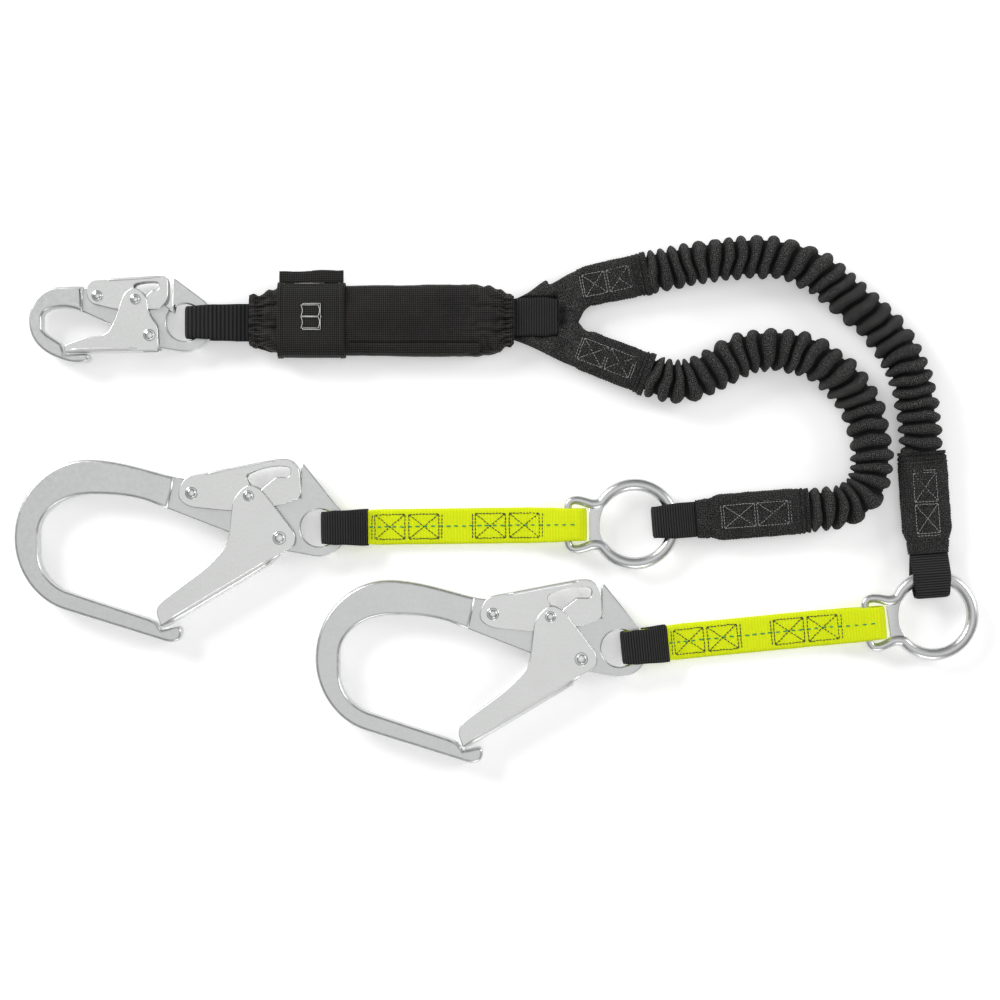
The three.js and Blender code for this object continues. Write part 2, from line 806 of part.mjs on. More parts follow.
// the folded strap that joins both legs; the pack's rear loop passes through its slit
function legYoke() {
  const arm = (near) => {
    const c = Math.cos(rad(near.turn));
    const s = Math.sin(rad(near.turn));
    const end = near.length - 1.5;
    const half = 11.5;
    const [x, y] = near.at;
    return [
      [x + end * c + half * s, y + end * s - half * c, 0.5],
      [x + end * c - half * s, y + end * s + half * c, 0.5],
    ];
  };
  const [a0, a1] = arm(NEAR_A);
  const [b0, b1] = arm(NEAR_B);
  const shape = rounded([
    [12, 120, 2],
    [26, 112.6, 8],
    [50, 106.6, 6],
    a0,
    a1,
    [64.5, 124.6, 4],
    [58.4, 133, 5],
    [67.4, 150.4, 4],
    b0,
    b1,
    [52, 168.6, 6],
    [34, 163, 8],
    [12, 147.5, 2],
  ]);
  const slit = new THREE.Path();
  slit.moveTo(42.2, LOOP_Y - 13.4);
  slit.lineTo(42.2, LOOP_Y + 13.4);
  slit.lineTo(46.8, LOOP_Y + 13.4);
  slit.lineTo(46.8, LOOP_Y - 13.4);
  slit.closePath();
  shape.holes.push(slit);
  return plate(shape, -2.2, 2.2, 4);
}

// ---- energy absorber pack ----
function packOutline(inset) {
  const w = PACK.half - PACK.edge - inset;
  const neck = 13.5 - inset;
  const left = PACK.left + PACK.edge;
  const right = PACK.right - PACK.edge;
  return rounded([
    [left, -neck, 2],
    [left + 9, -neck - 3, 4],
    [left + 18, -w, 6],
    [right - 18, -w, 6],
    [right - 8, -neck - 3, 4],
    [right, -neck, 2],
    [right, neck, 2],
    [right - 8, neck + 3, 4],
    [right - 18, w, 6],
    [left + 18, w, 6],
    [left + 9, neck + 3, 4],
    [left, neck, 2],
  ]);
}

function packSlab(inset) {
  const flat = PACK.halfZ - inset - PACK.edge;
  const options = {
    depth: flat * 2,
    bevelEnabled: true,
    bevelThickness: PACK.edge,
    bevelSize: PACK.edge,
    bevelSegments: 2,
    curveSegments: 2,
  };
  return new THREE.ExtrudeGeometry(packOutline(inset), options).translate(0, 0, -flat);
}

function packCover() {
  const mouth = new THREE.BoxGeometry(230, 31, 12.4).translate((PACK.left + PACK.right) / 2, 0, 0);
  return cut(packSlab(0), [packSlab(PACK.wall), mouth]);
}

// tear webbing folded to and fro inside the cover, one ply over the other
function tearWebbing() {
  const half = PLY / 2;
  const pitch = PLY + 0.6;
  const layers = 5;
  const ends = [-146, -34];
  const forward = [];
  const back = [];
  for (let i = 0; i < layers; i += 1) {
    const z = (i - (layers - 1) / 2) * pitch;
    const toRight = i % 2 === 0;
    const from = toRight ? ends[0] : ends[1];
    const to = toRight ? ends[1] : ends[0];
    const side = toRight ? 1 : -1;
    forward.push([from, z + side * half], [to, z + side * half]);
    back.push([from, z - side * half], [to, z - side * half]);
    if (i < layers - 1) {
      const outward = toRight ? 1 : -1;
      const wide = pitch / 2 + half;
      const bend = [-Math.PI / 4, 0, Math.PI / 4];
      const list = toRight ? back : forward;
      for (const a of bend) {
        list.push([to + outward * wide * Math.cos(a), z + pitch / 2 + wide * Math.sin(a)]);
      }
    }
  }
  const points = [...forward, ...back.reverse()];
  return acrossY(wound(points), 36);
}

const FRONT_LOOP = { near: { x: 10.2, z: 0 }, far: 20.6, inner: 5.6, join: 46, joinZ: 0 };
const REAR_LOOP = { near: { x: 40.8, z: 0 }, far: 14, inner: 3, join: -2, joinZ: 0 };

function labelWrap() {
  const box = (halfY, halfZ, edge) => [
    [-halfY, -halfZ, edge],
    [halfY, -halfZ, edge],
    [halfY, halfZ, edge],
    [-halfY, halfZ, edge],
  ];
  const inner = PACK.halfZ + RUN;
  const shape = rounded(box(PACK.half + 1.6, inner + 1, 5));
  shape.holes.push(new THREE.Path(rounded(box(PACK.half + 0.6, inner, 3)).getPoints(3)));
  const options = { depth: 50, bevelEnabled: false, curveSegments: 3 };
  return new THREE.ExtrudeGeometry(shape, options).rotateX(Math.PI / 2).rotateZ(Math.PI / 2);
}

function pack() {
  const group = new THREE.Group();
  group.add(named('pack_cover', packCover(), 'cover'));
  group.add(named('tear_webbing', tearWebbing(), 'blackWeb'));
  group.add(place(named('label_wrap', labelWrap(), 'cover'), -166, 0, 0, 0));
  const flap = named('label_flap', new THREE.BoxGeometry(48, 9, 1.4), 'cover');
  group.add(place(flap, -141, PACK.half + 1.6 + RUN + 4.5, 0, 4));
  const book = named('book_pictogram', new THREE.BoxGeometry(16, 20, 0.6), 'white');
  group.add(place(book, -141.5, 2, 0, PACK.halfZ + RUN + 1 + RUN + 0.3));
  place(group, 0, PACK.y);
  return group;
}

function assemble() {
  const group = new THREE.Group();
  group.name = 'shock_absorbing_lanyard';
  group.add(pack());
  const front = acrossY(strapShape(FRONT_LOOP, null, 86), LOOP_WIDTH - 1.5);
  group.add(place(named('front_loop', front, 'blackWeb'), SNAP_EYE[0], SNAP_EYE[1]));
  const rear = acrossY(strapShape(REAR_LOOP, null, -28), LOOP_WIDTH);
  group.add(place(named('rear_loop', rear, 'blackWeb'), 0, LOOP_Y));
  group.add(place(snapHook('snap'), SNAP_EYE[0], SNAP_EYE[1]));
  group.add(place(named('leg_yoke', legYoke(), 'elastic'), 0, 0));
  group.add(leg('a', NEAR_A, FAR_A, RING_A, LEG_A_ROUTE));
  group.add(leg('b', NEAR_B, FAR_B, RING_B, LEG_B_ROUTE));
  group.add(tieBack('a', RING_A, STRAP_A_TURN));
  group.add(tieBack('b', RING_B, STRAP_B_TURN));
  return group;
}

// the origin is the middle of the footprint, on the surface it lies on, measured without the elastic tubes
function centred(group) {
  group.updateMatrixWorld(true);
  const box = new THREE.Box3();
  group.traverse((object) => {
    if (object.isMesh && !object.name.startsWith('elastic_tube')) {
      box.expandByObject(object, true);
    }
  });
  const middle = box.getCenter(new THREE.Vector3());
  group.position.set(-middle.x, -middle.y, -box.min.z);
  return group;
}

export default centred(assemble());
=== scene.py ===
"""Twin-leg shock absorbing lanyard, laid flat and seen from straight above."""

import random
from math import acos, atan2, copysign, cos, exp, floor, hypot, pi, radians as rad, sin, sqrt, tau

import bmesh
import bpy
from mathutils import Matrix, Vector, noise


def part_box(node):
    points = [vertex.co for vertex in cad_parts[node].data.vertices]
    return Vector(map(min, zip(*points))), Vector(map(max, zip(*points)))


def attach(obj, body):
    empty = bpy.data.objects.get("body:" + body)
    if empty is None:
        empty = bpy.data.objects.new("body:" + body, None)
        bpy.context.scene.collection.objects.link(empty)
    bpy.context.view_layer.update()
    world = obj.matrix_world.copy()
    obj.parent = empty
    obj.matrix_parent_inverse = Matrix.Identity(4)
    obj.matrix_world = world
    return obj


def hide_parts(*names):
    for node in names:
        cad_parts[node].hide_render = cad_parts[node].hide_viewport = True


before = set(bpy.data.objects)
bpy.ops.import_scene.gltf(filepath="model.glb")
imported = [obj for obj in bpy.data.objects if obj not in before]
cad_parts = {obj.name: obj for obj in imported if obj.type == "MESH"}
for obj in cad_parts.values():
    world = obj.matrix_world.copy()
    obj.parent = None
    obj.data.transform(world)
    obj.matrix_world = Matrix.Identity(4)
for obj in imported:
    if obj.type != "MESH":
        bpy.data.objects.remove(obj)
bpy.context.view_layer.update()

MM = 0.001
MID = 10.0  # height of the plane that halves hooks, rings and webbing
SNAP_EYE = (-236.0, 133.0)
SNAP_PIVOT = (-25.4, -10)  # gate rivets, from the centre of their hook's eye
REBAR_PIVOT = (-29, -7.5)
RINGS = {"a": (101.0, -18.0, 0.7), "b": (324.8, -86.3, 7.6)}  # x, y and turn of the tie-back rings
BAR_AT = -49.0  # a ring's straight bar, along the ring's own X axis
REACH = 187.5  # from a ring's bar to its hook's eye
STRAP_TURN = {"a": 0.7, "b": 5.6}
PACK_Y = 134.5
LOOP_Y = 137.0


def polar(r, a):
    """The point at distance r, at an angle in degrees."""
    return r * cos(rad(a)), r * sin(rad(a))


def unit(v):
    return min(1.0, max(0.0, v))


def grey(v):
    return (v, v, v)


def ripple(x, y, z):
    """Smooth noise, from about -1 to 1."""
    return noise.noise(Vector((x, y, z)))


def off_floor(z, gap):
    """A height from the middle plane, kept at least `gap` above the floor."""
    return max(gap - MID, z)


def middle(node):
    lo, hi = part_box(node)
    return (Vector(lo) + Vector(hi)) / 2 / MM


# From the layout's coordinates to the row frame.
SHIFT = middle("snap_gate_rivet") - Vector((SNAP_EYE[0] + SNAP_PIVOT[0], SNAP_EYE[1] + SNAP_PIVOT[1], MID))


class Place:
    """A local frame on the layout: millimetres in, row-frame metres out."""

    def __init__(self, x=0.0, y=0.0, turn=0.0):
        self.o = Vector((x, y, MID)) + SHIFT
        self.c, self.s = cos(rad(turn)), sin(rad(turn))

    def __call__(self, p):
        x, y, z = p
        right = self.o.x + x * self.c - y * self.s
        back = self.o.y + x * self.s + y * self.c
        return Vector((right, back, self.o.z + z)) * MM


def eye_of(letter):
    """Where a rebar hook's eye lies: one strap's reach from its ring's bar."""
    x, y, turn = RINGS[letter]
    bar_x, bar_y = x + BAR_AT * cos(rad(turn)), y + BAR_AT * sin(rad(turn))
    t = rad(STRAP_TURN[letter])
    return bar_x - REACH * cos(t), bar_y - REACH * sin(t)


# ---------------- materials
class Shader:
    """The nodes of a material or a world. A value given to an input is a number, a colour or an output."""

    def __init__(self, owner):
        owner.use_nodes = True
        self.owner = owner
        self.nodes, self.links = owner.node_tree.nodes, owner.node_tree.links

    def feed(self, socket, value):
        if isinstance(value, bpy.types.NodeSocket):
            self.links.new(value, socket)
        else:
            socket.default_value = value

    def node(self, kind, **inputs):
        made = self.nodes.new(f"ShaderNode{kind}")
        for name, value in inputs.items():
            self.feed(made.inputs[name], value)
        return made

    def ramp(self, source, stops):
        made = self.node("ValToRGB", Fac=source)
        elements = made.color_ramp.elements
        while len(elements) < len(stops):
            elements.new(0.5)
        for e, (at, value) in zip(elements, stops):
            e.position = at
            e.color = (*(value if hasattr(value, "__len__") else grey(value)), 1)
        return made.outputs["Color"]

    def coords(self, kind="Object", scale=(1, 1, 1)):
        source = self.node("TexCoord").outputs[kind]
        return self.node("Mapping", Vector=source, Scale=scale).outputs["Vector"]

    def noise(self, vector, scale, detail=4, rough=0.55):
        made = self.node("TexNoise", Vector=vector, Scale=scale, Detail=detail, Roughness=rough)
        return made.outputs["Fac"]

    def wave(self, vector, scale, direction):
        made = self.node("TexWave", Vector=vector, Scale=scale, Distortion=0.35, Detail=1.0)
        made.wave_type = "BANDS"
        made.bands_direction = direction
        return made.outputs["Fac"]

    def mix(self, a, b, mode="MULTIPLY", fac=1.0):
        made = self.node("Mix")
        made.data_type = "RGBA"
        made.blend_type = mode
        for at, value in ((0, fac), (6, a), (7, b)):
            self.feed(made.inputs[at], value)
        return made.outputs[2]

    def surface(self, inputs):
        bsdf = self.nodes["Principled BSDF"]
        for name, value in inputs.items():
            self.feed(bsdf.inputs[name], value)

    def bump(self, height, strength, distance):
        return self.node("Bump", Height=height, Strength=strength, Distance=distance).outputs["Normal"]


def metal(name, low, high, rough_low, rough_high, grain=500.0):
    """Cloudy metal with a fine grain and faint scratches."""
    s = Shader(bpy.data.materials.new(name))
    v = s.coords()
    cloud = s.noise(v, 38.0, 6, 0.6)
    fine = s.noise(v, grain, 5, 0.7)
    scratch = s.noise(s.coords("Object", (60, 1400, 300)), 1.0, 3, 0.6)
    tone = s.mix(fine, cloud, "OVERLAY", 0.3)
    rough = s.mix(fine, scratch, "OVERLAY", 0.5)
    s.surface({
        "Base Color": s.ramp(tone, [(0.25, low), (0.75, high)]),
        "Roughness": s.ramp(rough, [(0.3, rough_low), (0.72, rough_high)]),
        "Metallic": 1.0,
        "Normal": s.bump(fine, 0.3, 0.0001),
    })
    return s.owner


def cloth(name, low, high, pitch, rough, sheen, bump, across=1.0, grain=2.2, speck=None, folds=False):
    """Woven cloth: warp and weft from two waves in the piece's own millimetre coordinates.

    `speck` is the colour of pale flecks, and `folds` multiplies in painted shade: the cloth is darkened where
    the piece's per-vertex shade attribute is low, in the creases of its folds and between its rolls.
    """
    s = Shader(bpy.data.materials.new(name))
    v = s.coords("UV")
    waves = pi / 10 / pitch
    weave = s.mix(s.wave(v, waves, "X"), s.wave(v, waves * across, "Y"))
    fluff = s.noise(v, grain, 4, 0.7)
    patch = s.noise(s.coords(), 14.0, 4, 0.6)
    tone = s.mix(s.mix(weave, fluff, "OVERLAY", 0.55), patch, "OVERLAY", 0.4)
    colour = s.ramp(tone, [(0.08, low), (0.62, high)])
    if speck:
        mask = s.ramp(s.noise(v, 0.95, 3, 0.85), [(0.5, 0.0), (0.7, 1.0)])
        colour = s.mix(colour, (*speck, 1), "MIX", mask)
    # painted shade: the colour is multiplied by the piece's per-vertex shade, dark in creases, recesses and
    # between rolls
    if folds:
        painted_shade = s.node("Attribute")
        painted_shade.attribute_name = "painted_shade"
        colour = s.mix(colour, s.ramp(painted_shade.outputs["Fac"], [(0.0, 0.03), (0.45, 0.4), (1.0, 1.0)]))
    s.surface({
        "Base Color": colour,
        "Roughness": rough,
        "Specular IOR Level": 0.2,
        "Sheen Weight": sheen,
        "Sheen Roughness": 0.5,
        "Normal": s.bump(s.mix(weave, fluff, "ADD", 0.5), bump, 0.0004),
    })
    return s.owner


def thread(name, low, high):
    s = Shader(bpy.data.materials.new(name))
    twist = s.noise(s.coords(), 1500.0, 3, 0.6)
    colour = s.ramp(twist, [(0.3, low), (0.7, high)])
    s.surface({"Base Color": colour, "Roughness": 0.75, "Normal": s.bump(twist, 0.5, 0.0002)})
    return s.owner


STEEL = metal("zinc_steel", (0.70, 0.71, 0.70), (0.82, 0.83, 0.82), 0.30, 0.40)
FORGED = metal("zinc_forging", (0.60, 0.61, 0.605), (0.74, 0.75, 0.745), 0.28, 0.42, 260.0)
RIVET = metal("bright_rivet", (0.66, 0.67, 0.67), (0.80, 0.81, 0.81), 0.10, 0.18)
SPRING = metal("spring_wire", (0.3, 0.3, 0.31), (0.45, 0.45, 0.46), 0.25, 0.45)
ALLOY = metal("ring_alloy", (0.62, 0.625, 0.625), (0.72, 0.725, 0.725), 0.27, 0.36)
RIB = 1.9  # rib pitch of the black webbing, and of the broader front loop and the yellow webbing
RIB_WIDE = 3.0
RIB_HI_VIS = 2.3
CANVAS = 1.6  # pitch of the weave of the pack's cover and label
BLACK_WEB = cloth("black_webbing", grey(0.002), grey(0.060), RIB, 0.7, 0.04, 0.5, 5.0)
FRONT_WEB = cloth("front_webbing", grey(0.002), grey(0.050), RIB_WIDE, 0.7, 0.04, 0.5, 8.0)
HI_VIS = cloth("hi_vis_webbing", (0.70, 0.86, 0.0), (0.95, 1.0, 0.01), RIB_HI_VIS, 0.8, 0.1, 0.6, 2.5)
# the cover and the knit multiply in painted shade from their pieces' per-vertex shade attribute (folds=True)
COVER = cloth(
    "cover_cloth", grey(0.003), (0.060, 0.053, 0.047), CANVAS, 0.6, 0.04, 0.8, grain=0.8, folds=True,
)
LABEL = cloth("label_cloth", grey(0.003), (0.042, 0.039, 0.036), CANVAS, 0.55, 0.04, 0.6, grain=0.8)
KNIT = cloth(
    "elastic_knit_painted_fold_shade", grey(0.003), (0.062, 0.063, 0.060), 1.3, 0.9, 0.06, 1.2,
    grain=1.4, speck=(0.21, 0.215, 0.205), folds=True,
)
WHITE_THREAD = thread("white_thread", grey(0.22), (0.55, 0.55, 0.54))
DARK_THREAD = thread("dark_thread", (0.010, 0.022, 0.012), (0.025, 0.055, 0.03))
GREEN_THREAD = thread("green_thread", (0.0, 0.22, 0.09), (0.0, 0.36, 0.15))
PRINT = thread("white_print", (0.62, 0.62, 0.61), (0.82, 0.82, 0.81))


# ---------------- mesh helpers
def show(name, data):
    """A new object, linked into the scene."""
    o = bpy.data.objects.new(name, data)
    bpy.context.scene.collection.objects.link(o)
    return o


def paint(node, material):
    """Give a CAD node that stays in view its material."""
    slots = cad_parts[node].data.materials
    slots.clear()
    slots.append(material)


class Batch:
    """Vertices and faces of several closed bits that end up as one visible piece."""

    def __init__(self):
        self.v, self.f, self.uv, self.painted_shade = [], [], [], []

    def add(self, verts, faces, uvs=None, painted_shade=()):
        base = len(self.v)
        self.v += verts
        self.f += [tuple(i + base for i in f) for f in faces]
        self.uv += uvs if uvs else [(p[0] / MM, p[1] / MM) for p in verts]
        self.painted_shade += painted_shade
        return self

    def make(self, name, body, material, slot, nodes=(), angle=None):
        """The piece itself, in row-frame metres, riding on a body and standing for CAD nodes."""
        me = bpy.data.meshes.new(name)
        me.from_pydata([tuple(v) for v in self.v], [], self.f)
        layer = me.uv_layers.new(name="UVMap")
        for loop in me.loops:
            layer.data[loop.index].uv = self.uv[loop.vertex_index]
        # the per-vertex painted shade, kept as a colour attribute for cloth that multiplies it into its
        # colour
        if self.painted_shade:
            tone = me.color_attributes.new("painted_shade", "FLOAT_COLOR", "POINT")
            for i, k in enumerate(self.painted_shade):
                tone.data[i].color = (*grey(unit(k)), 1)
        me.materials.append(material)
        me.polygons.foreach_set("use_smooth", [True] * len(me.polygons))
        if angle:
            me.set_sharp_from_angle(angle=rad(angle))
        me.update()
        o = show(name, me)
        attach(o, body)
        if nodes:
            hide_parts(*nodes)
        return o


def tube_faces(rows, ring, closed=False):
    """Faces along rows of points, each row a ring. The ends are capped, or joined if closed."""
    faces = []
    for i in range(rows if closed else rows - 1):
        here, there = i * ring, (i + 1) % rows * ring
        for j in range(ring):
            k = (j + 1) % ring
            faces.append((here + j, here + k, there + k, there + j))
    if not closed:
        faces += [tuple(range(ring - 1, -1, -1)), tuple(range((rows - 1) * ring, rows * ring))]
    return faces


def resample(points, step, closed=False):
    """Evenly spaced points along a polyline, with the distance to each."""
    pts = [Vector(p) for p in points]
    if closed:
        pts.append(pts[0].copy())
    lengths = [0.0]
    for a, b in zip(pts, pts[1:]):
        lengths.append(lengths[-1] + (b - a).length)
    count = max(2, round(lengths[-1] / step))
    out, k = [], 0
    for i in range(count if closed else count + 1):
        s = lengths[-1] * i / count
        while k < len(pts) - 2 and lengths[k + 1] < s:
            k += 1
        span = max(lengths[k + 1] - lengths[k], 1e-9)
        out.append((pts[k].lerp(pts[k + 1], (s - lengths[k]) / span), s))
    return out, lengths[-1]


def smooth_loop(points):
    """Chaikin corner cutting round a closed line, twice."""
    pts = [Vector(p) for p in points]
    for _ in range(2):
        pts = [q for a, b in zip(pts, pts[1:] + pts[:1]) for q in (a.lerp(b, 0.25), a.lerp(b, 0.75))]
    return pts


def spline(points, step):
    """Catmull-Rom through the points, evenly resampled."""
    pts = [Vector(p) for p in points]
    full = [pts[0] * 2 - pts[1]] + pts + [pts[-1] * 2 - pts[-2]]
    dense, cuts = [], 12
    for p0, p1, p2, p3 in zip(full, full[1:], full[2:], full[3:]):
        for k in range(cuts):
            t = k / cuts
            q = 2 * p1 + (p2 - p0) * t + (2 * p0 - 5 * p1 + 4 * p2 - p3) * t * t
            dense.append(0.5 * (q + (3 * p1 - p0 - 3 * p2 + p3) * t**3))
    dense.append(pts[-1])
    return resample(dense, step)


def between(table, x):
    """Smoothly read a table of (x, value) pairs."""
    if x <= table[0][0]:
        return table[0][1]
    for (a, va), (b, vb) in zip(table, table[1:]):
        if x <= b:
            t = (x - a) / (b - a)
            t = t * t * (3 - 2 * t)
            return va + (vb - va) * t
    return table[-1][1]


def steps(a, b, pitch):
    n = max(2, round(abs(b - a) / pitch))
    return [a + (b - a) * i / n for i in range(n + 1)]


# ---------------- webbing
WEB_HALF = 1.0  # half the thickness of the CAD webbing
WEB_THICK = 1.9  # thickness of the webbing as drawn, under its ribs
QUARTER = 13  # points round a quarter turn of a loop


def ribbon(line, wide, thick, place, rib, pitch, step, closed=False):
    """A strap with ribs across it: its side profile is `line` in X and Z, its width a table read at x."""
    pts, _ = resample([(p[0], 0, p[1]) for p in line], step, closed)
    n, cols = len(pts), 15
    verts, uvs = [], []
    for i, (p, s) in enumerate(pts):
        a = pts[(i - 1) % n][0] if closed or i else p
        b = pts[(i + 1) % n][0] if closed or i < n - 1 else p
        t = (b - a).normalized()
        normal = Vector((-t.z, 0, t.x))
        w = between(wide, p.x)
        ridge = rib * (abs(sin(pi * s / pitch)) ** 0.7 - 0.6)
        wob = 0.25 * ripple(s * 0.07, w, 3.1)
        half = thick / 2 + ridge
        for side in (1, -1):
            for j in range(cols):
                f = (j / (cols - 1) * 2 - 1) * side
                edge = sqrt(max(0.0, 1 - abs(f) ** 7)) * 0.75 + 0.25
                q = p + normal * (side * half * edge)
                verts.append(place((q.x, f * w / 2 + wob * f, q.z)))
                uvs.append((s, f * w / 2))
    return Batch().add(verts, tube_faces(n, cols * 2, closed), uvs)


def loop_side(near, far, radius, join_x, join_z, side):
    """The half of a strap's loop above (1) or below (-1) its centre, from its end round to the join."""
    toward = 1 if join_x >= far else -1
    dx, dz = abs(join_x - far), side * join_z
    lean = atan2(dz, dx) + acos(min(1.0, radius / hypot(dx, dz)))
    pts = []
    for i in range(QUARTER):
        a = pi - pi / 2 * i / (QUARTER - 1)
        pts.append((near + toward * radius * cos(a), side * radius * sin(a)))
    for i in range(1, 5):
        a = pi / 2 + (lean - pi / 2) * i / 4
        pts.append((far + toward * radius * cos(a), side * radius * sin(a)))
    return pts + [(join_x, join_z)]


def loop_halves(near, far, inner, join_x, join_z, out=WEB_HALF):
    """The lower and upper halves of a loop, `out` away from the strap's inner face and from its join."""
    return [loop_side(near, far, inner + out, join_x, join_z + side * out, side) for side in (-1, 1)]


def strap_line(loop, second=None, tail=None):
    """The centreline of a folded strap: up round one loop, then to a second loop or to two tails."""
    low, top = loop_halves(*loop)
    line = low[::-1] + top[1:]
    if second:
        low, top = loop_halves(*second)
        return line + top[::-1] + low[1:]
    join_z = loop[-1]
    return [(tail, join_z - WEB_HALF)] + line + [(tail, join_z + WEB_HALF)]


DARK_STITCH = (2.5, 2.4, 0.36)  # pitch, length and radius of the stitches
TRACER_STITCH = (5.7, 3.6, 0.5)
WHITE_STITCH = (2.2, 1.9, 0.2)


def stitch_run(batch, points, place, z, size, rng=None):
    """Lock stitches along a polyline, on a surface whose height is z or z(x)."""
    pitch, length, radius = size
    sides, rows = 6, 5
    for (ax, ay), (bx, by) in zip(points, points[1:]):
        span = hypot(bx - ax, by - ay)
        count = max(1, int(span / pitch))
        for k in range(count):
            m = (k + 0.5) / count
            jitter = rng.uniform(-0.18, 0.18) if rng else 0.0
            ux, uy = (bx - ax) / span, (by - ay) / span
            mx, my = ax + (bx - ax) * m - uy * jitter, ay + (by - ay) * m + ux * jitter
            tilt = rng.uniform(-0.1, 0.1) if rng else 0.0
            ux, uy = ux - uy * tilt, uy + ux * tilt
            half = length / 2 * (rng.uniform(0.85, 1.1) if rng else 1.0)
            base = z(mx) if callable(z) else z
            verts, uvs = [], []
            for i in range(rows):
                f = i / (rows - 1) * 2 - 1
                lift = base + radius * (0.55 - 0.95 * f * f)
                r = radius * (1 - 0.35 * f * f)
                for j in range(sides):
                    a = tau * j / sides
                    ox, oz = r * cos(a), r * sin(a) * 0.8
                    x, y = mx + ux * half * f - uy * ox, my + uy * half * f + ux * ox
                    verts.append(place((x, y, lift + oz)))
                    uvs.append((f, a))
            batch.add(verts, tube_faces(rows, sides), uvs)


def box_cross(x0, x1, half):
    """The runs of a sewn box with a cross in it."""
    a, b, c, d = (x0, -half), (x1, -half), (x1, half), (x0, half)
    return [[a, b, c, d, a], [a, c], [d, b]]


# ---------------- camera, floor, light
def studio():
    """A camera straight above, white paper, a sky that is brightest overhead, and three lamps."""
    scene = bpy.context.scene
    height, sensor, view_width = 1.35, 36, 0.75
    lens = bpy.data.cameras.new("camera")
    lens.sensor_width = sensor
    lens.lens = sensor * (height - MID * MM) / view_width
    lens.clip_end = 20
    camera = show("camera", lens)
    camera.location = (SHIFT.x * MM, SHIFT.y * MM, height)
    scene.camera = camera
    me = bpy.data.meshes.new("floor")
    r = 6.0
    me.from_pydata([(-r, -r, 0), (r, -r, 0), (r, r, 0), (-r, r, 0)], [], [(0, 1, 2, 3)])
    paper = Shader(bpy.data.materials.new("floor_paper"))
    paper.surface({
        "Base Color": paper.ramp(paper.noise(paper.coords(), 60.0, 4, 0.6), [(0.2, 0.93), (0.8, 0.95)]),
        "Roughness": 1.0,
        "Specular IOR Level": 0.0,
        "Emission Color": (1, 1, 1, 1),
        "Emission Strength": 0.3,
    })
    me.materials.append(paper.owner)
    show("floor", me)
    scene.world = bpy.data.worlds.new("studio")
    sky = Shader(scene.world)
    up = sky.node("SeparateXYZ", Vector=sky.node("TexCoord").outputs["Generated"]).outputs["Z"]
    glow = sky.ramp(up, [(0.0, 0.2), (0.5, 0.24), (0.8, 0.36), (0.92, 0.62), (0.97, 0.86), (1.0, 1.0)])
    background = sky.nodes["Background"]
    sky.feed(background.inputs["Color"], glow)
    sky.feed(background.inputs["Strength"], 1.05)
    for name, at, size, power in (
        ("key", (-2.0, 1.7, 1.25), 1.2, 60),
        ("fill", (2.2, 0.7, 1.0), 1.0, 22),
        ("front", (0.5, -2.3, 1.1), 1.0, 12),
    ):
        data = bpy.data.lights.new(name, "AREA")
        data.energy = power
        data.size = size
        lamp = show(name, data)
        lamp.location = at
        lamp.rotation_euler = (-Vector(at)).to_track_quat("-Z", "Y").to_euler()
    scene.view_settings.view_transform = "Standard"


studio()

# ---------------- stretch legs
LEG_ROUTES = {
    "a": [
        (111.4, 94), (122, 90), (139, 89), (157, 96), (181, 108.6), (204, 112.6), (227, 109.6), (247, 98.5),
        (262, 83.5), (272, 66), (277, 46), (278.4, 25), (273, 7.5), (259, -3.6), (243, -6.6), (231.4, -7.6),
    ],
    "b": [
        (110.6, 170.1), (124, 172.8), (146, 177), (172, 180.6), (195, 182), (217, 179.4), (237, 171),
        (253, 158.6), (269, 144.4), (284, 131), (296, 115), (305.4, 97), (311.4, 76), (314.4, 54), (316, 36),
    ],
}
LEG_SEEDS = {"a": (11, 4.0), "b": (23, 17.0)}  # for the sizes of the rolls, and for the noise
TUBE_HALF = 17.0  # half the width of the gathered elastic sleeve
TUBE_TALL = 12.6  # half its height
TUBE_RISE = 2.2  # how far its centre lies above the middle plane
PUFF = 9.2  # from one gather to the next at the ends of a leg
PUFF_GROWS = 2.6  # and how much further apart they are halfway along


